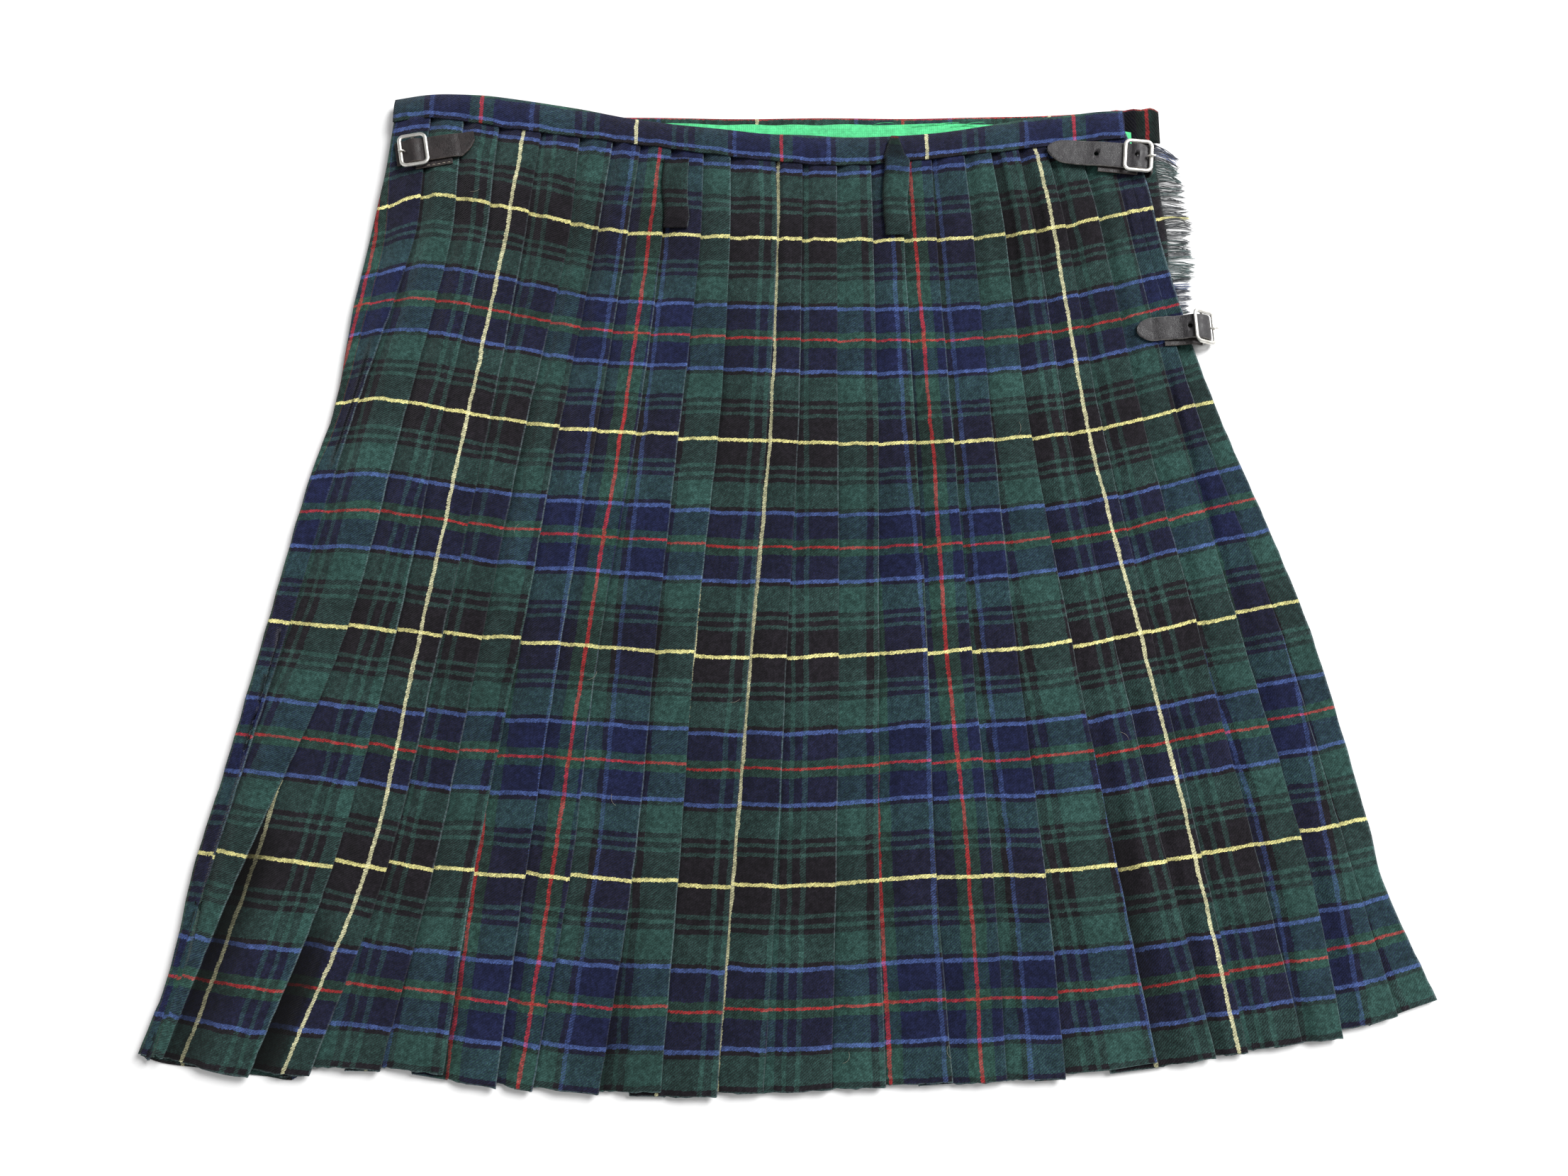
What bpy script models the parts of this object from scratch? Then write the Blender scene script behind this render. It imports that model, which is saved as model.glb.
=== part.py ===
"""Scottish kilt laid flat on its front.

One long cloth is wrapped round: the over apron lies on the surface, the under apron lies on it,
and the pleated back lies on top. Lengths are millimetres here and metres in the meshes.
X runs across the kilt, Y runs from the hem to the waist and Z is up from the surface.
"""
import math
from collections import namedtuple

import bmesh
import bpy
from mathutils import Vector

MM = 0.001

# Cloth and leather
CLOTH = 1.0
HALF_CLOTH = CLOTH / 2
GAP = 0.3
PITCH = CLOTH + GAP
LEATHER = 1.6
TAB_LEATHER = 1.0

# Heights of the layers above the surface
OVER_APRON_BASE = 0.0
UNDER_APRON_BASE = OVER_APRON_BASE + PITCH
FRONT_BAND_BASE = UNDER_APRON_BASE + PITCH
LINING_BASE = FRONT_BAND_BASE + PITCH
LOW_BED = UNDER_APRON_BASE + PITCH
HIGH_BED = LINING_BASE + PITCH
PLEAT_STACK = 2 * PITCH + CLOTH
WAIST_TOP = HIGH_BED + PLEAT_STACK
BAND_TOP = WAIST_TOP + GAP + CLOTH

# How far down the cloth each crosswise line lies, and its course across the kilt.
# Each course is a row of (X, Y) points.
WeftLine = namedtuple("WeftLine", "down course")
WEFT_LINES = (
    WeftLine(-53.0, ((-262, 448), (-235, 451), (-180, 443), (-100, 432),
                     (0, 419), (50, 417), (130, 425), (225, 436))),
    WeftLine(0.0, ((-270, 386), (-235, 396), (-180, 387), (-120, 372),
                   (-40, 367), (50, 364.5), (146, 368), (245, 387))),
    WeftLine(138.5, ((-290, 252), (-262, 256), (-170, 240), (-100, 233),
                     (30, 226), (130, 228), (200, 235), (275, 254))),
    WeftLine(277.0, ((-325, 111), (-230, 104), (-110, 94), (-20, 88),
                     (80, 91), (180, 96), (250, 108), (328, 125))),
    WeftLine(415.5, ((-357, -31), (-225, -40), (-100, -47), (0, -51),
                     (80, -46), (190, -41), (287, -26), (358, -10))),
    WeftLine(530.0, ((-381, -147), (-314, -158), (-238, -156), (-150, -167), (-40, -170),
                     (60, -165.5), (165, -160), (254, -149), (330, -136), (389, -117))),
)
SEAM_DOWN = WEFT_LINES[0].down
HEM_DOWN = WEFT_LINES[-1].down
SECTION_DOWNS = (SEAM_DOWN - 5, -15, 25, 82, 138.5, 208, 277, 346, 415.5, 473, HEM_DOWN)
BED_HIGH_DOWN = -15.0
BED_LOW_DOWN = 25.0

# Side outlines of the wrapped cloth, as (Y, X) points
LEFT_OUTLINE = ((-147, -381), (-103, -367), (-40, -357), (18, -343), (115, -322), (203, -303),
                (250, -290), (310, -283), (360, -275), (410, -266), (450, -262))
RIGHT_OUTLINE = ((-117, 389), (-50, 363), (-12, 356), (100, 331), (168, 309), (240, 283),
                 (310, 262), (360, 250), (410, 240), (446, 227), (459, 226))

# X of the fold edge of each knife pleat, left to right, at five heights and at the hem
FOLD_HEIGHTS = (425, 365, 240, 100, -40)
Fold = namedtuple("Fold", "waist seat hip thigh knee hem")
FOLDS = (
    Fold(-240, -245.5, -279, -312, -347, -374),
    Fold(-217, -221, -246, -275.5, -328, -366),
    Fold(-193, -198, -221, -243.5, -274, -315),
    Fold(-165, -172, -190, -214, -241, -279.6),
    Fold(-138, -143, -166, -189, -212, -238),
    Fold(-116, -124, -144, -164, -187, -201),
    Fold(-97, -104, -120, -139, -156, -169.4),
    Fold(-76, -81, -94, -115, -129, -148),
    Fold(-54, -55.5, -67, -80, -91, -109),
    Fold(-36, -36, -42, -55.3, -63.7, -72.5),
    Fold(-6, -5, -11, -21, -31.5, -39.8),
    Fold(12, 11.6, 9.2, 2, -4.2, -12.3),
    Fold(35, 34.7, 34.4, 34, 31.2, 27.5),
    Fold(57.5, 58.6, 60.3, 59, 57, 59.6),
    Fold(77, 79, 84, 89, 91.5, 98.7),
    Fold(98, 100.5, 108, 116, 125.8, 131),
    Fold(120, 125, 133.5, 144, 157, 165),
    Fold(138, 146, 157.6, 178.5, 201, 219.5),
    Fold(157, 167, 181.6, 205.5, 232, 254),
    Fold(176, 187.5, 204, 229.5, 254, 273.5),
    Fold(198, 211, 231, 259, 287.5, 306),
    Fold(218, 230, 254, 286, 317.3, 330),
    Fold(227, 239, 268, 311, 343, 363.5),
)
FOLD_DEPTH_SHARE = 0.5
FOLD_RISE_ROOM = 4.0
FOLD_STEP = HALF_CLOTH + 2 * GAP
FOLD_LEAD = 1.2
SIDE_ROUND = 1.2

# Waistband of the back: top edge as (X, Y) points, and its profile from seam to top edge
BACK_BAND_TOP = ((-262, 466), (-225, 470.5), (-180, 466), (-140, 460), (-100, 452), (-30, 443),
                 (40, 439), (100, 441), (165, 451.5), (205, 456.5), (228, 457.5))
BACK_BAND_ENDS = (-262.0, 228.0)
BACK_BAND_STATIONS = 25
BandStep = namedtuple("BandStep", "share height")
BACK_BAND_PROFILE = (
    BandStep(0.0, BAND_TOP - HALF_CLOTH),
    BandStep(0.35, BAND_TOP - HALF_CLOTH),
    BandStep(0.70, BAND_TOP - HALF_CLOTH - 0.7),
    BandStep(0.90, BAND_TOP - HALF_CLOTH - 2.1),
    BandStep(1.0, HIGH_BED + 1.3),
    BandStep(1.0, HIGH_BED),
)

# Waistband of the aprons and the lining, both seen past the top edge of the back
FRONT_BAND_TOP = ((-258, 464), (-190, 459), (-100, 454.5), (30, 454), (150, 455), (253, 461))
FRONT_BAND_HEIGHT = 25.5
FRONT_BAND_ENDS = (-258.0, 253.0)
LINING_TOP = ((-180, 452), (-35, 448.5), (60, 448.5), (125, 449), (200, 447), (234, 443))
LINING_ENDS = (-180.0, 233.5)
LINING_FOOT = 405.0
STRIP_STATIONS = 14

# Over apron: free edge as (Y, X) points, top edge and hem as (X, Y) points
OVER_APRON_EDGE = ((-160, 310), (50, 285), (200, 264), (300, 253), (340, 254.5), (370, 255),
                   (400, 252), (440, 249), (460, 249))
OVER_APRON_HEM = ((-381, -148), (-367, -155.5), (-314, -164), (-290, -163), (-262, -153),
                  (-150, -165), (0, -168), (165, -157), (310, -137))
UNDER_APRON_EDGE = ((-160, -300), (100, -262), (300, -222), (452, -196))
UNDER_APRON_TUCK = 3.0
APRON_TUCK = 2.0
APRON_COLUMNS = 8
APRON_ROWS = 10

# Fringe of the over apron
FRINGE_TOP = 437.0
FRINGE_FOOT = 284.0
FRINGE_STRANDS = 70
FRINGE_STRIP = 2.0
FRINGE_STRAND_SHARE = 0.62
FRINGE_TIP_HEIGHT = 0.35
FRINGE_REACH = ((284, 11), (320, 14), (370, 16), (410, 16), (437, 14.5))
FRINGE_DROOP = ((284, 0.5), (370, 0.0), (410, -2.0), (437, -8.0))

# Belt loops: centre line, half width and the stretch that each covers
LOOP_HALF_WIDTH = 8.4
LoopSpec = namedtuple("LoopSpec", "name x foot top")
LOOPS = (
    LoopSpec("belt_loop_left", -71.5, 372.0, 421.0),
    LoopSpec("belt_loop_right", 74.0, 367.0, 439.0),
)
LOOP_PADDING = 0.5
LOOP_STEP = 6.0

# Buckles: frame round a bar, with heights above the bar's centre
FRAME_LENGTH = 19.9
FRAME_WIDTH = 23.3
FRAME_WIRE = 2.2
FRAME_WIRE_HEIGHT = 1.8
FRAME_CORNER = 3.4
FRAME_LIFT = 2.0
BAR_RADIUS = 0.8
BAR_LIFT = 2.4
PRONG_RADIUS = 0.65
PRONG_PATH = ((6.0, 1.6), (6.6, 2.8), (8.0, 3.95), (10.9, 3.8))

# Each set: place of the bar, heading of the strap in degrees and downward tilt of the frame.
# Strap rows are (along, height, half width, shift); along is 0 at the bar, negative to the tip.
# Tab rows are (along, height).
BuckleSet = namedtuple("BuckleSet", "name x y bar_height heading tilt strap tab tab_shift")
BUCKLES = (
    BuckleSet("waist_right", 234.5, 420.6, BAND_TOP + BAR_LIFT, -5.5, 0.0,
              ((-59.6, 11.2, 1.2, 1.5), (-58.6, 11.2, 3.2, 1.2), (-55.5, 11.2, 5.8, 0.6),
               (-50.0, 11.2, 8.4, 0.0), (-33.0, 11.2, 8.6, 0.0), (-27.0, 12.5, 8.6, 0.0),
               (-5.5, 12.5, 8.8, 0.0), (-1.6, 14.4, 8.8, 0.0), (1.6, 14.4, 8.8, 0.0),
               (5.0, 12.5, 8.8, 0.0), (8.0, 12.3, 8.8, 0.0), (10.0, 11.2, 8.8, 0.0),
               (11.0, 9.0, 8.8, 0.0), (11.0, 4.0, 8.8, 0.0), (9.6, 2.3, 8.8, 0.0),
               (8.4, 2.1, 8.8, 0.0)),
              ((-25.5, 10.9), (0.8, 10.9)), -3.4),
    BuckleSet("hip_right", 272.6, 303.5, 6.9, 2.5, 33.0,
              ((-43.0, 7.3, 1.5, 0.0), (-41.8, 7.3, 3.8, 0.0), (-38.6, 7.3, 6.3, 0.0),
               (-34.5, 7.3, 7.9, 0.0), (-32.0, 7.3, 8.0, 0.0), (-26.8, 8.6, 8.0, 0.0),
               (-15.0, 8.7, 8.0, 0.0), (-10.5, 10.6, 8.0, 0.0), (-6.5, 11.5, 8.0, 0.0),
               (-2.6, 9.9, 8.2, 0.0), (-0.6, 9.7, 8.2, 0.0), (2.4, 7.6, 8.2, 0.0),
               (4.4, 4.6, 8.2, 0.0), (5.1, 3.2, 8.2, 0.0), (4.4, 2.2, 8.2, 0.0),
               (3.2, 2.1, 8.2, 0.0), (-4.0, 2.1, 8.2, 0.0)),
              ((-25.5, 7.0), (-13.0, 7.0), (-8.5, 8.9), (-0.6, 4.9)), -3.0),
    BuckleSet("waist_left", -246.0, 425.5, WAIST_TOP + BAR_LIFT, 190.0, 0.0,
              ((-40.5, 9.9, 3.2, -5.0), (-37.5, 9.9, 5.8, -2.6), (-31.0, 9.9, 8.3, 0.0),
               (-30.0, 9.9, 8.3, 0.0), (-25.5, 11.2, 8.3, 0.0), (-5.5, 11.2, 8.3, 0.0),
               (-1.6, 13.1, 8.3, 0.0), (1.6, 13.1, 8.3, 0.0), (5.0, 11.2, 8.3, 0.0),
               (8.0, 11.0, 8.3, 0.0), (11.0, 10.0, 8.3, 0.0), (12.5, 9.9, 8.3, 0.0)),
              ((-24.0, 9.6), (0.8, 9.6)), 3.6),
)
TAB_HALF_WIDTH = 8.5


def curve_value(points, at):
    """Smooth curve through (place, value) points, straight beyond its ends."""
    places = [point[0] for point in points]
    values = [point[1] for point in points]
    last = len(points) - 1
    slopes = []
    for index in range(last + 1):
        low = max(index - 1, 0)
        high = min(index + 1, last)
        slopes.append((values[high] - values[low]) / (places[high] - places[low]))
    if at <= places[0]:
        return values[0] + slopes[0] * (at - places[0])
    if at >= places[last]:
        return values[last] + slopes[last] * (at - places[last])
    index = max(i for i in range(last) if places[i] <= at)
    span = places[index + 1] - places[index]
    s = (at - places[index]) / span
    return ((1 + 2 * s) * (1 - s) ** 2 * values[index]
            + s * (1 - s) ** 2 * span * slopes[index]
            + s * s * (3 - 2 * s) * values[index + 1]
            + s * s * (s - 1) * span * slopes[index + 1])


def weft_y(down, x):
    """Y of the cloth that lies this far down it, at this X."""
    knots = [(line.down, curve_value(line.course, x)) for line in WEFT_LINES]
    return curve_value(knots, down)


def fold_x(fold, y):
    """X of a fold edge at this Y."""
    hem_y = weft_y(HEM_DOWN, fold.hem)
    knots = [(hem_y, fold.hem)]
    for height, place in zip(reversed(FOLD_HEIGHTS), (fold.knee, fold.thigh, fold.hip,
                                                      fold.seat, fold.waist)):
        knots.append((height, place))
    return curve_value(knots, y)


def meet(down, x_of_y, start):
    """X where a course that is given as X over Y meets a crosswise line of the cloth."""
    x = start
    for _ in range(8):
        x = x_of_y(weft_y(down, x))
    return x


def bed_share(down):
    """1 where the back lies on the lining, 0 where it lies on the under apron."""
    share = (BED_LOW_DOWN - down) / (BED_LOW_DOWN - BED_HIGH_DOWN)
    return min(max(share, 0.0), 1.0)


def bed_height(down):
    return LOW_BED + (HIGH_BED - LOW_BED) * bed_share(down)


def wall_sides(path, half):
    """The two sides of a wall whose centre line is a path of 2-D points."""
    left = []
    right = []
    last = len(path) - 1
    for index, point in enumerate(path):
        here = Vector(point)
        before = (here - Vector(path[index - 1])).normalized() if index > 0 else None
        after = (Vector(path[index + 1]) - here).normalized() if index < last else None
        before = before or after
        after = after or before
        normal_before = Vector((-before.y, before.x))
        normal_after = Vector((-after.y, after.x))
        mitre = (normal_before + normal_after).normalized()
        reach = half / mitre.dot(normal_after)
        left.append(here + mitre * reach)
        right.append(here - mitre * reach)
    return left, right


def material(name, colour, roughness, metallic=0.0):
    made = bpy.data.materials.new(name)
    made.use_nodes = True
    shader = made.node_tree.nodes["Principled BSDF"]
    shader.inputs["Base Color"].default_value = (*colour, 1.0)
    shader.inputs["Roughness"].default_value = roughness
    shader.inputs["Metallic"].default_value = metallic
    made.diffuse_color = (*colour, 1.0)
    return made


def solid(name, points, faces, finish):
    """Mesh object from millimetre points, with its faces turned outward."""
    mesh = bpy.data.meshes.new(name)
    mesh.from_pydata([tuple(MM * value for value in point) for point in points], [], faces)
    shape = bmesh.new()
    shape.from_mesh(mesh)
    bmesh.ops.recalc_face_normals(shape, faces=shape.faces)
    shape.to_mesh(mesh)
    shape.free()
    mesh.materials.append(finish)
    made = bpy.data.objects.new(name, mesh)
    bpy.context.scene.collection.objects.link(made)
    return made


def loft(name, sections, finish):
    """Closed wall through sections, each a pair of equally long rows of points."""
    count = len(sections[0][0])
    points = []
    for upper, lower in sections:
        points.extend(upper)
        points.extend(reversed(lower))
    ring = 2 * count
    faces = []
    for row in range(len(sections) - 1):
        for index in range(ring):
            following = (index + 1) % ring
            faces.append((row * ring + index, row * ring + following,
                          (row + 1) * ring + following, (row + 1) * ring + index))
    for base in (0, (len(sections) - 1) * ring):
        for index in range(count - 1):
            faces.append((base + index, base + index + 1,
                          base + ring - 2 - index, base + ring - 1 - index))
    return solid(name, points, faces, finish)


def pleat_path(down):
    """Centre line of the back's cross-section, left side to right side."""
    bed = bed_height(down)
    low = bed + HALF_CLOTH
    middle = low + PITCH
    top = middle + PITCH
    left = meet(down, lambda y: curve_value(LEFT_OUTLINE, y), LEFT_OUTLINE[0][1])
    right = meet(down, lambda y: curve_value(RIGHT_OUTLINE, y), RIGHT_OUTLINE[0][1])
    left_foot = PITCH + (HIGH_BED - PITCH) * bed_share(down)
    path = [(left + HALF_CLOTH, left_foot),
            (left + HALF_CLOTH, top - SIDE_ROUND),
            (left + HALF_CLOTH + SIDE_ROUND, top)]
    edge_before = left
    for number, fold in enumerate(FOLDS):
        edge = meet(down, lambda y, fold=fold: fold_x(fold, y), fold.hip)
        reveal = edge - edge_before
        depth = min(FOLD_DEPTH_SHARE * reveal, reveal - FOLD_RISE_ROOM)
        if number > 0:
            path.append((edge - depth - FOLD_LEAD, top))
        path.extend(((edge, top), (edge, middle), (edge - depth, middle),
                     (edge - depth, low), (edge + FOLD_STEP, low)))
        edge_before = edge
    path.extend(((right - HALF_CLOTH - SIDE_ROUND, low + SIDE_ROUND),
                 (right - HALF_CLOTH, low + GAP),
                 (right - HALF_CLOTH, bed)))
    return path


def back_panel(finish):
    sections = []
    for down in SECTION_DOWNS:
        sides = wall_sides(pleat_path(down), HALF_CLOTH)
        sections.append([[(p.x, weft_y(down, p.x), p.y) for p in side] for side in sides])
    return loft("back_panel", sections, finish)


def panel_rows(left, right, top, hem):
    """Rows of (X, Y) points between two side courses and two crosswise courses."""
    rows = []
    for row in range(APRON_ROWS + 1):
        share_down = row / APRON_ROWS
        outline = []
        for column in range(APRON_COLUMNS + 1):
            share_across = column / APRON_COLUMNS
            y = top(0.0) + (hem(0.0) - top(0.0)) * share_down
            for _ in range(8):
                x = left(y) + (right(y) - left(y)) * share_across
                y = top(x) + (hem(x) - top(x)) * share_down
            outline.append((x, y))
        rows.append(outline)
    return rows


def flat_panel(name, rows, base, finish):
    """Flat cloth through rows of (X, Y) points."""
    sections = []
    for row in rows:
        sections.append([[(x, y, base + CLOTH) for x, y in row], [(x, y, base) for x, y in row]])
    return loft(name, sections, finish)


def over_apron_rows():
    return panel_rows(
        lambda y: curve_value(LEFT_OUTLINE, y),
        lambda y: curve_value(OVER_APRON_EDGE, y),
        lambda x: curve_value(FRONT_BAND_TOP, x) - APRON_TUCK,
        lambda x: curve_value(OVER_APRON_HEM, x))


def under_apron_rows():
    return panel_rows(
        lambda y: curve_value(UNDER_APRON_EDGE, y),
        lambda y: curve_value(RIGHT_OUTLINE, y),
        lambda x: curve_value(FRONT_BAND_TOP, x) - APRON_TUCK,
        lambda x: weft_y(HEM_DOWN, x) + UNDER_APRON_TUCK)


def crosswise_strip(name, ends, foot, top, base, finish):
    """Flat strip along X between a foot course and a top course."""
    sections = []
    for station in range(STRIP_STATIONS + 1):
        x = ends[0] + (ends[1] - ends[0]) * station / STRIP_STATIONS
        low = (x, foot(x))
        high = (x, top(x))
        sections.append([[(*low, base + CLOTH), (*high, base + CLOTH)],
                         [(*low, base), (*high, base)]])
    return loft(name, sections, finish)


def waistband_front(finish):
    return crosswise_strip(
        "waistband_front", FRONT_BAND_ENDS,
        lambda x: curve_value(FRONT_BAND_TOP, x) - FRONT_BAND_HEIGHT,
        lambda x: curve_value(FRONT_BAND_TOP, x),
        FRONT_BAND_BASE, finish)


def lining(finish):
    return crosswise_strip(
        "lining", LINING_ENDS,
        lambda x: LINING_FOOT,
        lambda x: curve_value(LINING_TOP, x),
        LINING_BASE, finish)


def waistband_back(finish):
    sections = []
    for station in range(BACK_BAND_STATIONS + 1):
        x = BACK_BAND_ENDS[0] + (BACK_BAND_ENDS[1] - BACK_BAND_ENDS[0]) * station / BACK_BAND_STATIONS
        seam = weft_y(SEAM_DOWN, x)
        rise = curve_value(BACK_BAND_TOP, x) - HALF_CLOTH - seam
        path = [(seam + rise * step.share, step.height) for step in BACK_BAND_PROFILE]
        sides = wall_sides(path, HALF_CLOTH)
        sections.append([[(x, p.x, p.y) for p in side] for side in sides])
    return loft("waistband_back", sections, finish)


def ribbon(name, place, heading, stations, thickness, finish):
    """Flat strip that runs along its own X; stations are (along, height, half width, shift)."""
    path = [(station[0], station[1]) for station in stations]
    sections = []
    for (upper, lower), station in zip(zip(*wall_sides(path, thickness / 2)), stations):
        near = station[3] - station[2]
        far = station[3] + station[2]
        sections.append([[(upper.x, near, upper.y), (upper.x, far, upper.y)],
                         [(lower.x, near, lower.y), (lower.x, far, lower.y)]])
    made = loft(name, sections, finish)
    made.location = (MM * place[0], MM * place[1], 0.0)
    made.rotation_euler = (0.0, 0.0, math.radians(heading))
    return made


def top_surface(x, y):
    """Height of the back's upper side: pleats below the seam, waistband above it."""
    if y > weft_y(SEAM_DOWN, x) - CLOTH:
        return BAND_TOP
    low = SEAM_DOWN
    high = HEM_DOWN
    for _ in range(24):
        down = (low + high) / 2
        if weft_y(down, x) > y:
            low = down
        else:
            high = down
    return bed_height(down) + PLEAT_STACK


def belt_loop(spec, finish):
    """Loop that lies on the back, laid over the highest cloth near each of its stations."""
    count = math.ceil((spec.top - spec.foot) / LOOP_STEP)
    stations = []
    for index in range(count + 1):
        y = spec.foot + (spec.top - spec.foot) * index / count
        highest = max(top_surface(spec.x + side, y + reach)
                      for side in (-LOOP_HALF_WIDTH, LOOP_HALF_WIDTH)
                      for reach in (-LOOP_STEP, 0.0, LOOP_STEP))
        ends = 1.0 if 0 < index < count else 0.0
        stations.append((y - spec.foot, highest + GAP + HALF_CLOTH + LOOP_PADDING * ends,
                         LOOP_HALF_WIDTH, 0.0))
    return ribbon(spec.name, (spec.x, spec.foot), 90.0, stations, CLOTH, finish)


def apron_fringe(finish):
    """Narrow strip along the over apron's free edge, with loose strands fused to it."""
    pitch = (FRINGE_TOP - FRINGE_FOOT) / FRINGE_STRANDS
    points = []
    faces = []

    def add(x, y, z):
        points.append((x, y, z))
        return len(points) - 1

    free_edge = [row[-1] for row in over_apron_rows()]

    def edge_x(y):
        for (top_x, top_y), (low_x, low_y) in zip(free_edge, free_edge[1:]):
            if low_y <= y:
                return low_x + (top_x - low_x) * (y - low_y) / (top_y - low_y) + GAP
        return free_edge[-1][0] + GAP

    def backing_row(y):
        near = edge_x(y)
        far = near + FRINGE_STRIP
        return (add(near, y, 0.0), add(far, y, 0.0), add(far, y, CLOTH), add(near, y, CLOTH))

    row = backing_row(FRINGE_FOOT)
    faces.append(row)
    for number in range(FRINGE_STRANDS):
        root_foot = backing_row(FRINGE_FOOT + pitch * (number + 0.5 - FRINGE_STRAND_SHARE / 2))
        root_top = backing_row(FRINGE_FOOT + pitch * (number + 0.5 + FRINGE_STRAND_SHARE / 2))
        for low, high, has_strand in ((row, root_foot, False), (root_foot, root_top, True)):
            faces.append((low[0], low[1], high[1], high[0]))
            faces.append((low[2], low[3], high[3], high[2]))
            faces.append((low[3], low[0], high[0], high[3]))
            if not has_strand:
                faces.append((low[1], low[2], high[2], high[1]))
        y = FRINGE_FOOT + pitch * (number + 0.5)
        reach = curve_value(FRINGE_REACH, y)
        droop = curve_value(FRINGE_DROOP, y)
        root_x = edge_x(y) + FRINGE_STRIP
        half = pitch * FRINGE_STRAND_SHARE / 2
        waist = []
        for side, height in ((-1, 0.15), (-1, 0.85), (1, 0.85), (1, 0.15)):
            waist.append(add(root_x + reach * 0.55, y + droop * 0.45 + side * half * 0.8, height))
        tip = add(root_x + reach, y + droop, FRINGE_TIP_HEIGHT)
        root = (root_foot[1], root_foot[2], root_top[2], root_top[1])
        for index in range(4):
            following = (index + 1) % 4
            faces.append((root[index], root[following], waist[following], waist[index]))
            faces.append((waist[index], waist[following], tip))
        row = root_top
    end = backing_row(FRINGE_TOP)
    for index in range(4):
        following = (index + 1) % 4
        faces.append((row[index], row[following], end[following], end[index]))
    faces.append(end)
    return solid("apron_fringe", points, faces, finish)


def tube(name, path, across, high, sides, closed, finish):
    """Wire along a path of (along, across, height) points, closed into a ring or capped."""
    count = len(path)
    points = []
    for index, point in enumerate(path):
        here = Vector(point)
        if closed:
            travel = Vector(path[(index + 1) % count]) - Vector(path[index - 1])
        else:
            travel = Vector(path[min(index + 1, count - 1)]) - Vector(path[max(index - 1, 0)])
        travel.normalize()
        sideways = travel.cross(Vector((0, 0, 1)))
        if sideways.length < 0.2:
            sideways = Vector((0, 1, 0))
        sideways.normalize()
        upward = sideways.cross(travel)
        for side in range(sides):
            angle = 2 * math.pi * (side + 0.5) / sides
            points.append(here + sideways * across * math.cos(angle) + upward * high * math.sin(angle))
    faces = []
    for index in range(count if closed else count - 1):
        following = (index + 1) % count
        for side in range(sides):
            turn = (side + 1) % sides
            faces.append((index * sides + side, index * sides + turn,
                          following * sides + turn, following * sides + side))
    if not closed:
        faces.append(tuple(range(sides)))
        faces.append(tuple((count - 1) * sides + side for side in range(sides)))
    return solid(name, points, faces, finish)


def rounded_rectangle(length, width, corner, steps):
    outline = []
    for quarter, (sign_x, sign_y) in enumerate(((1, 1), (-1, 1), (-1, -1), (1, -1))):
        centre = (sign_x * (length / 2 - corner), sign_y * (width / 2 - corner))
        for step in range(steps + 1):
            angle = math.pi / 2 * (quarter + step / steps)
            outline.append((centre[0] + corner * math.cos(angle), centre[1] + corner * math.sin(angle)))
    return outline


def buckle(spec, metal):
    """Frame, bar and prong in the bar's own frame, then set in place."""
    outline = rounded_rectangle(FRAME_LENGTH - FRAME_WIRE, FRAME_WIDTH - FRAME_WIRE,
                                FRAME_CORNER, 4)
    wire = 1 / math.cos(math.pi / 8)
    frame_path = [(x, y, FRAME_LIFT) for x, y in outline]
    bar_reach = FRAME_WIDTH / 2 - FRAME_WIRE / 2
    made = [
        tube("buckle_frame_" + spec.name, frame_path, FRAME_WIRE / 2 * wire,
             FRAME_WIRE_HEIGHT / 2 * wire, 8, True, metal),
        tube("buckle_bar_" + spec.name, [(0, -bar_reach, 0), (0, bar_reach, 0)],
             BAR_RADIUS, BAR_RADIUS, 8, False, metal),
        tube("buckle_prong_" + spec.name, [(x, 0, z) for x, z in PRONG_PATH],
             PRONG_RADIUS, PRONG_RADIUS, 8, False, metal),
    ]
    for piece in made:
        piece.location = (MM * spec.x, MM * spec.y, MM * spec.bar_height)
        piece.rotation_euler = (0.0, math.radians(spec.tilt), math.radians(spec.heading))
    return made


def strap_and_tab(spec, leather):
    place = (spec.x, spec.y)
    ribbon("strap_" + spec.name, place, spec.heading, spec.strap, LEATHER, leather)
    tab = [(along, height, TAB_HALF_WIDTH, spec.tab_shift) for along, height in spec.tab]
    ribbon("buckle_tab_" + spec.name, place, spec.heading, tab, TAB_LEATHER, leather)


def clear_scene():
    for existing in list(bpy.data.objects):
        bpy.data.objects.remove(existing, do_unlink=True)


def stand_on_origin():
    """Move everything so that the middle of its base is at the origin."""
    bpy.context.view_layer.update()
    points = [piece.matrix_world @ vertex.co
              for piece in bpy.data.objects for vertex in piece.data.vertices]
    low = Vector(min(point[axis] for point in points) for axis in range(3))
    high = Vector(max(point[axis] for point in points) for axis in range(3))
    shift = Vector(((low.x + high.x) / 2, (low.y + high.y) / 2, low.z))
    for piece in bpy.data.objects:
        piece.location -= shift


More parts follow.
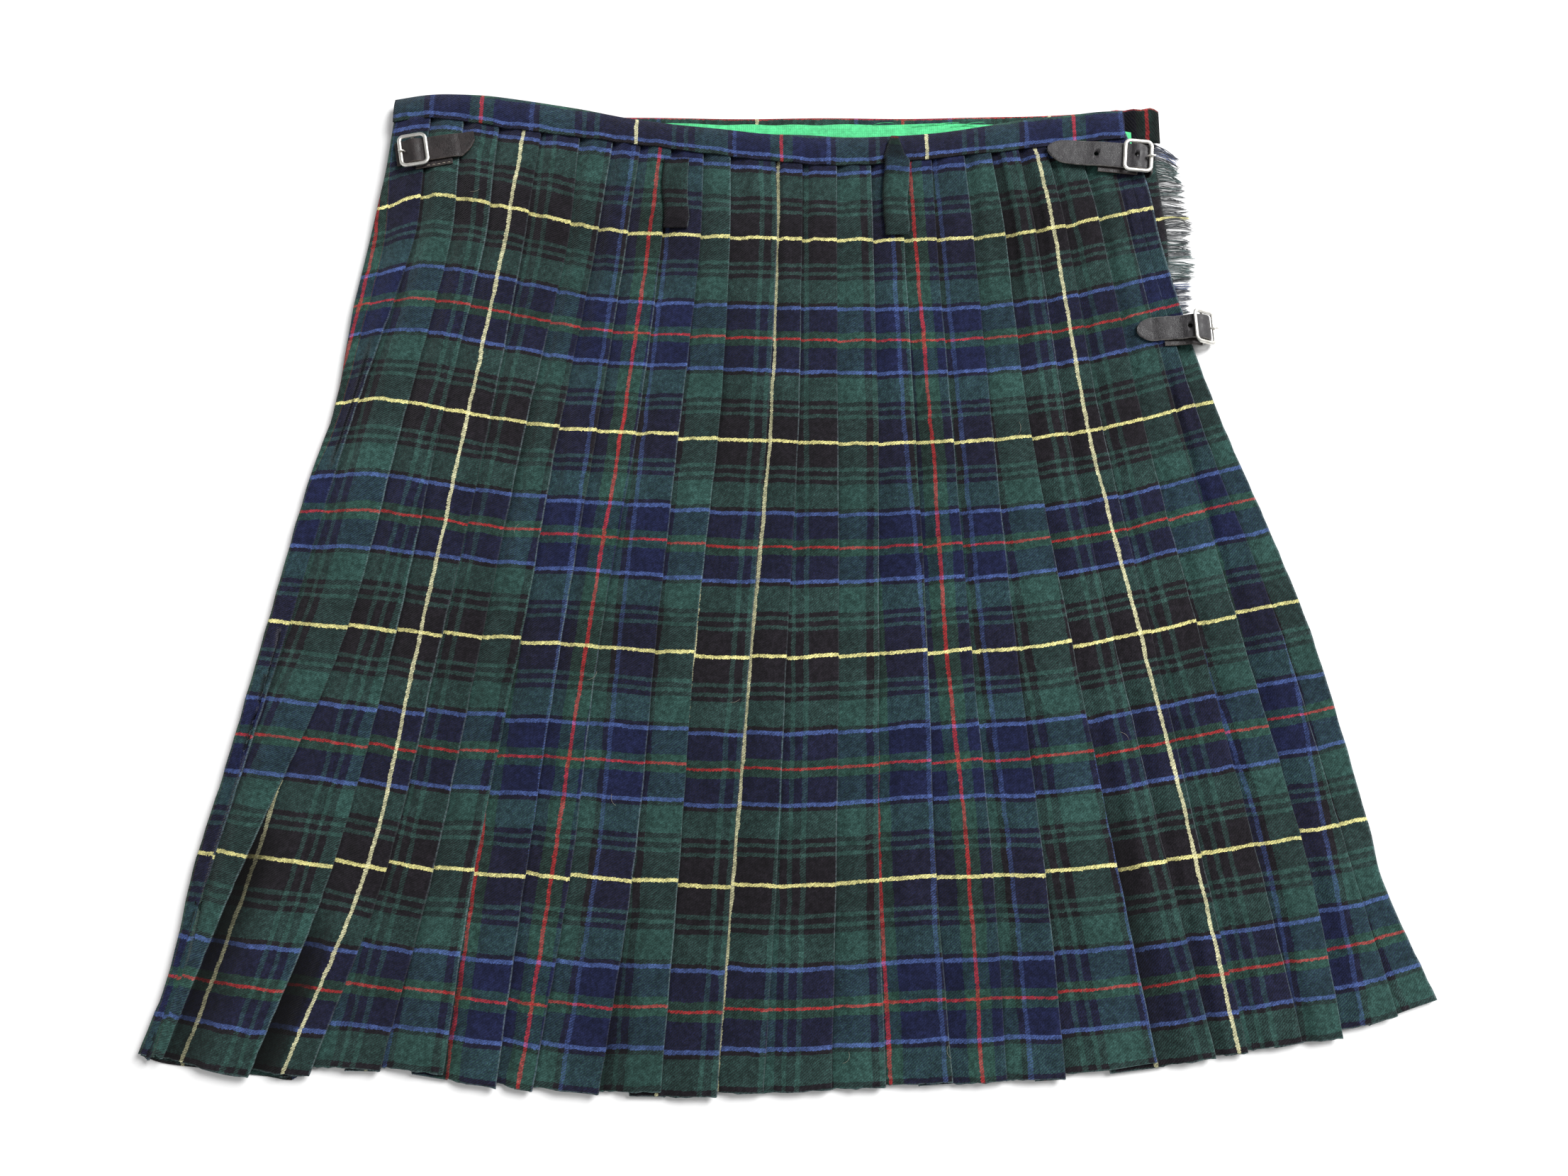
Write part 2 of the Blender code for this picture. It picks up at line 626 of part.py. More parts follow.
def build():
    clear_scene()
    tartan = material("tartan cloth", (0.045, 0.075, 0.085), 0.92)
    tartan_inner = material("tartan cloth, inner side", (0.04, 0.06, 0.09), 0.92)
    green = material("lining cloth", (0.08, 0.62, 0.24), 0.8)
    leather = material("black leather", (0.045, 0.042, 0.045), 0.55)
    metal = material("nickel", (0.78, 0.76, 0.72), 0.28, 1.0)
    flat_panel("over_apron", over_apron_rows(), OVER_APRON_BASE, tartan)
    flat_panel("under_apron", under_apron_rows(), UNDER_APRON_BASE, tartan_inner)
    waistband_front(tartan_inner)
    lining(green)
    back_panel(tartan)
    waistband_back(tartan)
    for spec in LOOPS:
        belt_loop(spec, tartan)
    apron_fringe(tartan)
    for spec in BUCKLES:
        strap_and_tab(spec, leather)
        buckle(spec, metal)
    stand_on_origin()


build()
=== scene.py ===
"""Looks of a Scottish kilt laid flat on its front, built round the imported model.

The over apron lies on the floor, the under apron on it, and the pleated back on top.
Places are in millimetres in the layout frame that the solids use before they are moved onto
the origin: X right, Y up towards the waist, and the camera's foot at the origin. SHIFT, found
from the lining's box, takes them to the row frame.
"""

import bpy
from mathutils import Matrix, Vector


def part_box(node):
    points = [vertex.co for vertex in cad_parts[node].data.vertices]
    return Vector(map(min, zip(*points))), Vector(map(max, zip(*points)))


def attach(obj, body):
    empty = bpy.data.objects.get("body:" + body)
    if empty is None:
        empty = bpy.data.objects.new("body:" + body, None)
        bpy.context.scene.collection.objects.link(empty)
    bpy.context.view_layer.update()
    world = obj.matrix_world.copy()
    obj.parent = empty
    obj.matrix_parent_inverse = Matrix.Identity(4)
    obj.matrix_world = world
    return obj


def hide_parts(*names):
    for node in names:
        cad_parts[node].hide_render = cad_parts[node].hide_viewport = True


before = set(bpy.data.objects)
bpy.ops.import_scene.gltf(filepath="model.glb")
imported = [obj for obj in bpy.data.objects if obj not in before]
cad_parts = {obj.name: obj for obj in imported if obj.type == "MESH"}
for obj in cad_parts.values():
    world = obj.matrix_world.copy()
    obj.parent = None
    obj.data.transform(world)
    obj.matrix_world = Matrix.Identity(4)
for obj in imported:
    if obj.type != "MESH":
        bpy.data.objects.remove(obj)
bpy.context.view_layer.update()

import math
import random
from collections import namedtuple
from functools import partial, reduce

import bpy
import numpy as np
from mathutils import Euler, Matrix, Vector

MM = 0.001

# Layers of the solids, and the cloth of the finer shells, which is a little thinner
CLOTH = 1.0
GAP = 0.3
PITCH = CLOTH + GAP
SHELL = 0.8
UNDER_APRON_BASE = PITCH
FRONT_BAND_BASE = 2 * PITCH
LINING_BASE = 3 * PITCH
LOW_BED = 2 * PITCH
HIGH_BED = 4 * PITCH
PLEAT_STACK = 2 * PITCH + CLOTH
WAIST_TOP = HIGH_BED + PLEAT_STACK
BAND_TOP = WAIST_TOP + GAP + CLOTH
LEATHER = 1.6
TAB_LEATHER = 1.0

# How far down the cloth each crosswise line lies, and its course across the kilt
WeftLine = namedtuple("WeftLine", "down course")
WEFT_LINES = (
    WeftLine(-53.0, ((-262, 448), (-235, 451), (-180, 443), (-100, 432),
                     (0, 419), (50, 417), (130, 425), (225, 436))),
    WeftLine(0.0, ((-270, 386), (-235, 396), (-180, 387), (-120, 372),
                   (-40, 367), (50, 364.5), (146, 368), (245, 387))),
    WeftLine(138.5, ((-290, 252), (-262, 256), (-170, 240), (-100, 233),
                     (30, 226), (130, 228), (200, 235), (275, 254))),
    WeftLine(277.0, ((-325, 111), (-230, 104), (-110, 94), (-20, 88),
                     (80, 91), (180, 96), (250, 108), (328, 125))),
    WeftLine(415.5, ((-357, -31), (-225, -40), (-100, -47), (0, -51),
                     (80, -46), (190, -41), (287, -26), (358, -10))),
    WeftLine(530.0, ((-381, -147), (-314, -158), (-238, -156), (-150, -167), (-40, -170),
                     (60, -165.5), (165, -160), (254, -149), (330, -136), (389, -117))),
)
SEAM_DOWN = WEFT_LINES[0].down
HEM_DOWN = WEFT_LINES[-1].down
TUCKED_DOWN = SEAM_DOWN - 5
BED_HIGH_DOWN = -15.0
BED_LOW_DOWN = 25.0

# Side outlines of the wrapped cloth, as (Y, X) points
LEFT_OUTLINE = ((-147, -381), (-103, -367), (-40, -357), (18, -343), (115, -322), (203, -303),
                (250, -290), (310, -283), (360, -275), (410, -266), (450, -262))
RIGHT_OUTLINE = ((-117, 389), (-50, 363), (-12, 356), (100, 331), (168, 309), (240, 283),
                 (310, 262), (360, 250), (410, 240), (446, 227), (459, 226))

# X of the fold edge of each knife pleat, left to right, at five heights and at the hem
FOLD_HEIGHTS = (425, 365, 240, 100, -40)
Fold = namedtuple("Fold", "waist seat hip thigh knee hem")
FOLDS = [Fold(*row) for row in (
    (-240, -245.5, -279, -312, -347, -374),
    (-217, -221, -246, -275.5, -328, -366),
    (-193, -198, -221, -243.5, -274, -315),
    (-165, -172, -190, -214, -241, -279.6),
    (-138, -143, -166, -189, -212, -238),
    (-116, -124, -144, -164, -187, -201),
    (-97, -104, -120, -139, -156, -169.4),
    (-76, -81, -94, -115, -129, -148),
    (-54, -55.5, -67, -80, -91, -109),
    (-36, -36, -42, -55.3, -63.7, -72.5),
    (-6, -5, -11, -21, -31.5, -39.8),
    (12, 11.6, 9.2, 2, -4.2, -12.3),
    (35, 34.7, 34.4, 34, 31.2, 27.5),
    (57.5, 58.6, 60.3, 59, 57, 59.6),
    (77, 79, 84, 89, 91.5, 98.7),
    (98, 100.5, 108, 116, 125.8, 131),
    (120, 125, 133.5, 144, 157, 165),
    (138, 146, 157.6, 178.5, 201, 219.5),
    (157, 167, 181.6, 205.5, 232, 254),
    (176, 187.5, 204, 229.5, 254, 273.5),
    (198, 211, 231, 259, 287.5, 306),
    (218, 230, 254, 286, 317.3, 330),
    (227, 239, 268, 311, 343, 363.5),
)]
FOLD_DEPTH_SHARE = 0.5
FOLD_RISE_ROOM = 4.0
FOLD_STEP = 1.1
FOLD_LEAD = 1.2
BACK_ROWS = 102

# Where each fold edge lies in the tartan: millimetres right of a yellow stripe, at five
# heights. One value alone holds at all of them.
SETT_HEIGHTS = (425, 240, 100, -40, -150)
FoldSett = namedtuple("FoldSett", "waist hip thigh knee hem", defaults=(None,) * 4)
FOLD_SETTS = [FoldSett(*row) for row in (
    (90,), (61,), (35, 35, 44, 47, 41), (11, 14, 13, 11, 15), (-9.5,), (-36, -36, -34, -33, -32),
    (-63, -63, -66, -68.5, -69), (-91.5, -89, -91, -88, -90.5), (-108,), (-136,), (-162,),
    (-181.5, -179.5, -175.2, -171, -169.5), (-202.6,), (-228.7,), (-257, -257, -262, -262, -260),
    (-281.5, -282, -280.5, -281, -281.5), (-307.7,), (-333, -333, -330, -327.5, -327),
    (-358.2, -358.2, -358.2, -358.5, -360), (-386.8, -385, -387.5, -390, -388.5), (-404,),
    (-431, -431, -435, -438, -435), (-473, -473, -462, -449, -438),
)]

# How much higher the crosswise lines are right of each fold than left of it, at four
# heights, and the Y values over which this fades out above them
STEP_HEIGHTS = (300, 235, 95, -40)
SHIFT_FADE = (345, 290)
FoldShift = namedtuple("FoldShift", "seat hip thigh knee")
FOLD_SHIFTS = [FoldShift(*row) for row in (
    (0, 0, 1, 4), (0, 1, 2, 0), (0, 1, 2, 4), (0, 1, 3, 5), (0, 0, 1, 1.5), (0, -1, -3, -2.5),
    (0, 0, 0, 2.5), (0, 0, 0, 2.5), (-1, -3, 0, 1), (0, 0, -2, -3), (0, 1, 1.5, 2), (0, 0, -1, 0),
    (0, 0, -1, 0), (0, 0, 0.5, 0.5), (0, 0, -2, -1.5), (0, -1, -2, 0), (0, 0, 0, 2),
    (0, -1, -4, -3), (0, 0, 0.5, 0.5), (0, 0, -0.5, 1), (0, 0, -2, 0), (0, 0, 3, 4), (0, 0, 0, 0),
)]

# Edge of one more pleat at the left side, as (Y, X) points, which runs into the outline
# lower down, and the radius of the back's left edge
LEFT_PLEAT = ((205, -300), (240, -288), (300, -276), (365, -264.5), (425, -262.5))
LEFT_PLEAT_SETT = 104.5
LEFT_PLEAT_DROP = 1.5
LEFT_PLEAT_ROOM = 1.3
SIDE_RADIUS = 1.2

# Folds that stand up from the cloth beside them: (fold number, low Y, high Y, lift)
RAISED_FOLDS = ((17, 315, 440, 1.4), (9, 225, 345, 0.7), (11, 345, 440, 0.5),
                (16, -175, 0, 1.5), (8, -175, -60, 1.0), (3, 40, 150, 0.7), (20, 40, 180, 0.9),
                (5, 130, 260, 0.5), (13, -120, 60, 0.6), (1, -175, -40, 1.3), (2, -175, -90, 0.8),
                (18, -175, -30, 1.0), (10, -175, -80, 0.6), (22, 60, 200, 0.6), (7, -60, 60, 0.5))

# Painted shade in valleys right of folds: its usual width and depth, and the stretches where these
# differ; how pale each fold's crest is, a painted highlight with nap worn pale, and how pale the hem is
SHADE_WIDTH = 2.6
SHADE_DEPTH = 0.5
CREST_HIGHLIGHT_AND_WEAR = 0.5
HEM_RUB = 0.8
Shade = namedtuple("Shade", "fold low high width depth")
SHADES = [Shade(*row) for row in (
    (17, 300, 450, 11, 0.85), (9, 225, 345, 4.5, 0.65), (11, 345, 430, 5, 0.7),
    (16, -200, -10, 8, 0.7), (1, -240, 15, 18, 0.97), (2, -260, -50, 27, 0.97),
    (8, -220, -30, 12, 0.8), (5, -200, -60, 5, 0.75), (0, 200, 330, 5, 0.6),
    (12, -200, -80, 5, 0.6), (20, -200, 0, 5, 0.6), (18, 340, 440, 6, 0.6),
    (21, 220, 480, 1.6, 0.1), (20, 220, 480, 2.0, 0.2), (17, -240, 90, 13, 0.7),
    (18, -220, 10, 5, 0.7), (3, -200, -60, 6, 0.6), (6, 60, 220, 5, 0.6), (14, 120, 330, 4, 0.6),
    (4, 150, 330, 5, 0.6), (1, -260, -80, 14, 0.5), (6, -220, -60, 6, 0.75),
)]

# Right of the last fold the cloth lies low and then, over the Y values of RIM_RISE, as high
# as the fold, where its tartan runs on. The step beside the fold fills up over RIM_FILL_RISE.
RIM_SETT = -338.0
RIM_JOIN = 303.0
RIM_RISE = (296, 310)
RIM_FILL = 0.85
RIM_FILL_RISE = (255, 290)

# Y values over which soft creases fade out upwards, and gathers fade in
CALM_FADE = (352, 325)
GATHER_FADE = (318, 362)

# Soft creases: middle, length, heading in degrees, half width and height
Crease = namedtuple("Crease", "x y length heading half_width height")
BACK_CREASES = [Crease(*row) for row in (
    (-215, 60, 150, 96, 9, 0.7), (-95, -60, 120, 78, 12, 0.6), (20, 150, 190, 93, 10, 0.5),
    (110, -20, 160, 84, 13, 0.7), (185, 120, 110, 64, 8, 0.6), (-150, 200, 130, 108, 11, 0.5),
    (290, 20, 140, 70, 10, 0.9), (-330, -60, 120, 104, 9, 0.9), (-40, -120, 90, 20, 14, 0.4),
    (220, -95, 100, 160, 12, 0.5), (-265, 190, 80, 60, 7, 0.5), (60, 290, 90, 12, 12, 0.35),
)]
FRONT_CREASES = [Crease(*row) for row in (
    (-120, 120, 260, 82, 9, 0.45), (60, 20, 320, 97, 12, 0.5), (170, 210, 180, 75, 7, 0.4),
    (-230, -20, 200, 100, 8, 0.5), (10, -110, 240, 8, 11, 0.4), (-60, 300, 200, 170, 9, 0.35),
    (230, -40, 170, 68, 8, 0.5), (-160, 260, 120, 35, 6, 0.4), (120, 350, 130, 150, 7, 0.35),
)]

# Waistbands and lining. The front band's right end, past the join, has a red line.
BACK_BAND_TOP = ((-262, 466), (-225, 470.5), (-180, 466), (-140, 460), (-100, 452), (-30, 443),
                 (40, 439), (100, 441), (165, 451.5), (205, 456.5), (228, 457.5))
BACK_BAND_ENDS = (-262.0, 228.0)
BACK_BAND_COLUMNS = 220
BACK_BAND_PROFILE = ((1.0, HIGH_BED), (1.0, HIGH_BED + 1.3), (0.90, BAND_TOP - 2.6),
                     (0.70, BAND_TOP - 1.2), (0.35, BAND_TOP - 0.5), (0.0, BAND_TOP - 0.5))
BACK_BAND_SETT = ((-203, -98.5), (-99, 0), (-1.6, 98.5), (95.3, 197), (194.3, 295.5))
BACK_BAND_DOWN_AT_SEAM = -44.0
FRONT_BAND_TOP = ((-258, 464), (-190, 459), (-100, 454.5), (30, 454), (150, 455), (253, 461))
FRONT_BAND_HEIGHT = 25.5
FRONT_BAND_ENDS = (-258.0, 253.0)
FRONT_BAND_JOIN = 215.0
FRONT_BAND_LINE = 245.0
LINING_TOP = ((-180, 452), (-35, 448.5), (60, 448.5), (125, 449), (200, 447), (234, 443))
LINING_ENDS = (-180.0, 233.5)
LINING_FOOT = 405.0

# Aprons
OVER_APRON_EDGE = ((-160, 310), (50, 285), (200, 264), (300, 253), (340, 254.5), (370, 255),
                   (400, 252), (440, 249), (460, 249))
OVER_APRON_HEM = ((-381, -149), (-368.8, -153), (-345, -156), (-325.5, -158.5), (-306, -160.6),
                  (-289, -162.6), (-282, -156.5), (-262, -152), (-150, -164), (0, -167.5),
                  (165, -157), (310, -137))
UNDER_APRON_EDGE = ((-160, -300), (100, -262), (300, -222), (452, -196))
UNDER_APRON_TUCK = 3.0
APRON_TUCK = 2.0
APRON_GRID = (80, 140)
APRON_DOWN_SHIFT = -5.5
APRON_SETT_SHIFT = -38.0

# Fringe of the over apron
FRINGE_FOOT = 284.0
FRINGE_TOP = 437.0
FRINGE_YARNS = 300
FRINGE_REACH = ((284, 11), (320, 14), (370, 16), (410, 16), (437, 14.5))
FRINGE_DROOP = ((284, 0.5), (370, 0.0), (410, -2.0), (437, -8.0))

# Hairs on the wool as (X, Y, heading, length, bend), and frayed threads of the lining as
# (X, Y, run, rise)
STRAY_FIBRES = ((-118, 75, 40, 9, 50), (-105, 0, 110, 8, -40), (-205, 398, 15, 7, 30),
                (152, 235, 80, 10, 40), (38, -150, 60, 9, 60), (96, -146, 100, 9, -50),
                (-30, 60, 20, 7, 30), (210, 40, 140, 8, 40), (-170, 170, 65, 7, -30))
LINING_THREADS = ((86, 446.5, 22, 1.6), (98, 447.5, 20, 2.2), (112, 446.6, 17, 1.0),
                  (120, 447.6, 15, 2.4), (60, 448.2, 14, 1.2), (126, 446.2, 12, -1.8))

# Belt loops
LOOP_HALF_WIDTH = 8.4
LoopSpec = namedtuple("LoopSpec", "name x foot top sett point")
LOOPS = [LoopSpec(*row) for row in (
    ("belt_loop_left", -71.5, 372.0, 421.0, 13.0, 0.0),
    ("belt_loop_right", 74.4, 367.0, 439.0, 51.0, 18.0),
)]

# Buckles, as in the solids: strap rows are (along, height, half width, shift), tab rows are
# (along, height), and holes are (along, across) in the strap
FRAME_LENGTH = 19.9
FRAME_WIDTH = 23.3
FRAME_WIRE = 2.6
FRAME_WIRE_HEIGHT = 1.8
FRAME_CORNER = 3.4
FRAME_LIFT = 2.0
BAR_LIFT = 2.4
PRONG_RADIUS = 0.7
PRONG_PATH = ((6.0, 1.6), (6.6, 2.8), (8.0, 3.95), (10.9, 3.8))
TAB_HALF_WIDTH = 8.5
BuckleSet = namedtuple("BuckleSet", "name x y bar_height heading tilt strap tab tab_shift holes prong_reach")
Seam = namedtuple("Seam", "first last height step")
LEFT_TAB_SEAM = Seam((-23.0, 11.0), (-6.0, 11.0), 10.2, 3.4)
BUCKLES = (
    BuckleSet("waist_right", 234.5, 420.6, BAND_TOP + BAR_LIFT, -5.5, 0.0,
              ((-59.6, 11.2, 1.2, 1.5), (-58.6, 11.2, 3.2, 1.2), (-55.5, 11.2, 5.8, 0.6),
               (-50.0, 11.2, 8.4, 0.0), (-33.0, 11.2, 8.6, 0.0), (-27.0, 12.5, 8.6, 0.0),
               (-5.5, 12.5, 8.8, 0.0), (-1.6, 14.4, 8.8, 0.0), (1.6, 14.4, 8.8, 0.0),
               (5.0, 12.5, 8.8, 0.0), (8.0, 12.3, 8.8, 0.0), (10.0, 11.2, 8.8, 0.0),
               (11.0, 9.0, 8.8, 0.0), (11.0, 4.0, 8.8, 0.0), (9.6, 2.3, 8.8, 0.0),
               (8.4, 2.1, 8.8, 0.0)),
              ((-25.5, 10.9), (0.8, 10.9)), -3.4, ((-27.4, -0.4), (-0.8, 0.6)), 10.9),
    BuckleSet("hip_right", 272.6, 303.5, 6.9, 2.5, 33.0,
              ((-43.0, 7.3, 1.5, 0.0), (-41.8, 7.3, 3.8, 0.0), (-38.6, 7.3, 6.3, 0.0),
               (-34.5, 7.3, 7.9, 0.0), (-32.0, 7.3, 8.0, 0.0), (-26.8, 8.6, 8.0, 0.0),
               (-15.0, 8.7, 8.0, 0.0), (-10.5, 10.6, 8.0, 0.0), (-6.5, 11.5, 8.0, 0.0),
               (-2.6, 9.9, 8.2, 0.0), (-0.6, 9.7, 8.2, 0.0), (2.6, 8.0, 8.4, 0.0),
               (4.8, 5.8, 8.4, 0.0), (5.6, 3.9, 8.4, 0.0), (4.8, 2.3, 8.2, 0.0),
               (3.2, 2.1, 8.2, 0.0), (-4.0, 2.1, 8.2, 0.0)),
              ((-25.5, 7.0), (-13.0, 7.0), (-8.5, 8.9), (-0.6, 4.9)), -3.0, ((-9.3, 0.0),), 10.9),
    BuckleSet("waist_left", -246.0, 425.5, WAIST_TOP + BAR_LIFT, 190.0, 0.0,
              ((-40.5, 9.9, 3.2, -5.0), (-37.5, 9.9, 5.8, -2.6), (-31.0, 9.9, 8.3, 0.0),
               (-30.0, 9.9, 8.3, 0.0), (-25.5, 11.2, 8.3, 0.0), (-5.5, 11.2, 8.3, 0.0),
               (-1.6, 13.1, 8.3, 0.0), (1.6, 13.1, 8.3, 0.0), (5.0, 11.2, 8.3, 0.0),
               (8.0, 11.0, 8.3, 0.0), (11.0, 10.0, 8.3, 0.0), (12.5, 9.9, 8.3, 0.0)),
              ((-24.0, 9.6), (0.8, 9.6)), 3.6, (), 9.6),
)

# Half of the tartan repeat from a yellow line to a red line: where each stripe ends, across
# the kilt and down it. The repeat is stretched across, but the fine lines are not.
REPEAT_ACROSS = 197.0
Stripe = namedtuple("Stripe", "yarn across down")
HALF_SETT = (Stripe("yellow", 1.02, 1.05), Stripe("black", 23.6, 16.5),
             Stripe("line green", 26.6, 18.9), Stripe("black", 31.6, 22.1),
             Stripe("line green", 34.6, 24.5), Stripe("black", 39.1, 27.5),
             Stripe("green", 61.9, 43.7), Stripe("black", 65.2, 46.2), Stripe("blue", 67.8, 48.6),
             Stripe("navy", 90.6, 63.7), Stripe("guard green", 97.3, 68.2),
             Stripe("red", 98.5, 69.25))

# Yarn colours, chosen against the photo, in display values
YARNS = {"yellow": (246, 238, 158), "cream": (230, 226, 180), "blue": (72, 92, 148),
         "dull blue": (62, 79, 128), "black": (30, 27, 32), "green": (47, 77, 72),
         "line green": (50, 77, 72), "guard green": (42, 74, 64), "navy": (26, 31, 62),
         "red": (170, 51, 52)}

# Yarns that are duller in the upright stripes
WARP_YARNS = {"yellow": "cream", "blue": "dull blue"}

# Pale colour mixed in as painted highlight on fold crests, with nap worn pale there and at the frayed hem;
# and other display colours
PALE_HIGHLIGHT_AND_WEAR = (122, 142, 146)
# Pale grey mixed into the fringe yarns as painted highlight
YARN_HIGHLIGHT = (150, 155, 158)
LINING_DARK = (62, 186, 118)
LINING_LIGHT = (112, 242, 166)
NICKEL = (240, 238, 232)
TARNISH = (190, 184, 172)

# Twill: heading of its lines in degrees and their spacing
TWILL_HEADING = 38.0
TWILL_SPACING = 1.25

# Camera and lights
CAMERA_HEIGHT = 760.6
CAMERA_TILT = 9.883
CAMERA_LENS = 28.0
CAMERA_SENSOR = 36.0
WORLD_STRENGTH = 0.30
Lamp = namedtuple("Lamp", "name place size power")
LIGHTS = (Lamp("key light", (2.5, 2.0, 3.0), 2.0, 262.0),
          Lamp("fill light", (-2.2, -0.8, 2.6), 2.4, 17.0))


def layout_shift():
    """What takes a layout point to the row frame, in millimetres."""
    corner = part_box("lining")[0]
    return np.array((corner.x / MM - LINING_ENDS[0], corner.y / MM - LINING_FOOT,
                     corner.z / MM - LINING_BASE))


SHIFT = layout_shift()


# Curves and the cloth's own coordinates

def hermite(places, values, at):
    """Smooth curve through values at places, straight beyond its ends. Values may vary per point."""
    places = np.asarray(places, float)
    values = np.asarray(values, float)
    at = np.asarray(at, float)
    last = len(places) - 1
    high = np.minimum(np.arange(last + 1) + 1, last)
    low = np.maximum(np.arange(last + 1) - 1, 0)
    spans = (places[high] - places[low]).reshape((-1,) + (1,) * (values.ndim - 1))
    slopes = (values[high] - values[low]) / spans
    index = np.clip(np.searchsorted(places, at, side="right") - 1, 0, last - 1)

    def pick(table, which):
        if table.ndim == 1:
            return table[which]
        return np.take_along_axis(table, which[None], 0)[0]

    span = places[index + 1] - places[index]
    share = (at - places[index]) / span
    s = np.clip(share, 0.0, 1.0)
    inside = ((1 + 2 * s) * (1 - s) ** 2 * pick(values, index)
              + s * (1 - s) ** 2 * span * pick(slopes, index)
              + s * s * (3 - 2 * s) * pick(values, index + 1)
              + s * s * (s - 1) * span * pick(slopes, index + 1))
    before = np.minimum(share, 0.0) * span * pick(slopes, index)
    beyond = np.maximum(share - 1.0, 0.0) * span * pick(slopes, index + 1)
    return inside + before + beyond


def curve(points, at):
    """Smooth curve through (place, value) points."""
    places, values = zip(*points)
    return hermite(places, values, at)


def weft_y(down, x):
    """Y of the cloth that lies this far down it, at this X."""
    down, x = np.broadcast_arrays(np.asarray(down, float), np.asarray(x, float))
    rows = np.stack([curve(line.course, x) for line in WEFT_LINES])
    return hermite([line.down for line in WEFT_LINES], rows, down)


def down_at(x, y):
    """How far down the cloth a point lies."""
    low = np.full(np.broadcast(x, y).shape, -120.0)
    high = np.full(low.shape, 620.0)
    for _ in range(26):
        middle = (low + high) / 2
        above = weft_y(middle, x) > y
        low = np.where(above, middle, low)
        high = np.where(above, high, middle)
    return (low + high) / 2


def meet(downs, x_of_y, start):
    """X where a course given as X over Y meets each crosswise line of the cloth."""
    x = np.full(downs.shape, float(start))
    for _ in range(8):
        x = x_of_y(weft_y(downs, x))
    return x


def fold_x(fold, y):
    """X of a fold edge at each Y."""
    hem_y = float(weft_y(HEM_DOWN, fold.hem))
    return hermite((hem_y, *FOLD_HEIGHTS[::-1]), fold[::-1], y)


def by_height(heights, values, y):
    """Value at Y from values given at falling heights, held beyond them."""
    values = [values[0] if value is None else value for value in values]
    return hermite(heights[::-1], values[::-1], np.clip(y, heights[-1], heights[0]))


def smooth(low, high, at):
    """0 at low and 1 at high, with soft ends. Low may be the larger."""
    share = np.clip((at - low) / (high - low), 0.0, 1.0)
    return share * share * (3 - 2 * share)


def between(low, high, fade, at):
    """1 between low and high, fading to 0 at both over the length fade."""
    return smooth(low, low + fade, at) * smooth(high, high - fade, at)


def bell(at, middle, width):
    """1 at the middle, falling off over the width."""
    return np.exp(-((at - middle) / width) ** 2)


def wave(x, length, sway=0.0, sway_length=1.0, start=0.0):
    """Wave over x whose phase sways. Its lengths are millimetres for a radian."""
    return np.sin(x / length + sway * np.sin(x / sway_length) + start)


def bed_height(downs):
    """Height of what the pleats lie on, which rises onto the front band and the lining."""
    return LOW_BED + (HIGH_BED - LOW_BED) * smooth(BED_LOW_DOWN, BED_HIGH_DOWN, downs)


def rounded(points, passes=2):
    """The rows of a course with its corners cut, ends kept."""
    points = np.asarray(points, float)
    for _ in range(passes):
        near = points[:-1] * 0.75 + points[1:] * 0.25
        far = points[:-1] * 0.25 + points[1:] * 0.75
        cut = np.stack([near, far], axis=1).reshape(-1, points.shape[1])
        points = np.vstack([points[:1], cut, points[-1:]])
    return points


def averaged(values, count):
    """Running mean over an odd count of values, with the ends held."""
    return np.convolve(np.pad(values, count // 2, mode="edge"), np.ones(count) / count, mode="valid")


def unit(vectors):
    return vectors / np.linalg.norm(vectors, axis=-1, keepdims=True)


def circle(sides):
    """Angles of points spread evenly round a circle."""
    return np.arange(sides) * 2 * math.pi / sides


def arc(x, z, radius, angles):
    """Points on an arc, each as its angle in degrees, X and height."""
    for angle in angles:
        turned = math.radians(angle)
        yield angle, x + radius * math.cos(turned), z + radius * math.sin(turned)


def crease_height(creases, x, y):
    """Height that soft creases add at each point, never below zero."""
    total = np.zeros(np.broadcast(x, y).shape)
    for crease in creases:
        angle = math.radians(crease.heading)
        along = (x - crease.x) * math.cos(angle) + (y - crease.y) * math.sin(angle)
        across = (y - crease.y) * math.cos(angle) - (x - crease.x) * math.sin(angle)
        bend = 4.0 * np.sin(along / 31.0 + crease.x)
        fade = np.clip(1 - (along / (crease.length / 2)) ** 2, 0.0, 1.0) ** 1.5
        total += crease.height * fade * bell(across, -bend, crease.half_width)
    return total


# Meshes

def add_object(name, data):
    made = bpy.data.objects.new(name, data)
    bpy.context.scene.collection.objects.link(made)
    return made


def piece_from(name, points, faces, finish, flat_from=None, **values):
    """Object from layout points; faces from flat_from on are shaded flat."""
    mesh = bpy.data.meshes.new(name)
    mesh.from_pydata(((points + SHIFT) * MM).tolist(), [], faces)
    flags = np.ones(len(mesh.polygons), bool)
    if flat_from is not None:
        flags[flat_from:] = False
    mesh.polygons.foreach_set("use_smooth", flags)
    for label, numbers in values.items():
        layer = mesh.attributes.new(label, "FLOAT", "POINT")
        layer.data.foreach_set("value", np.asarray(numbers, np.float32).ravel())
    mesh.materials.append(finish)
    mesh.update()
    return add_object(name, mesh)


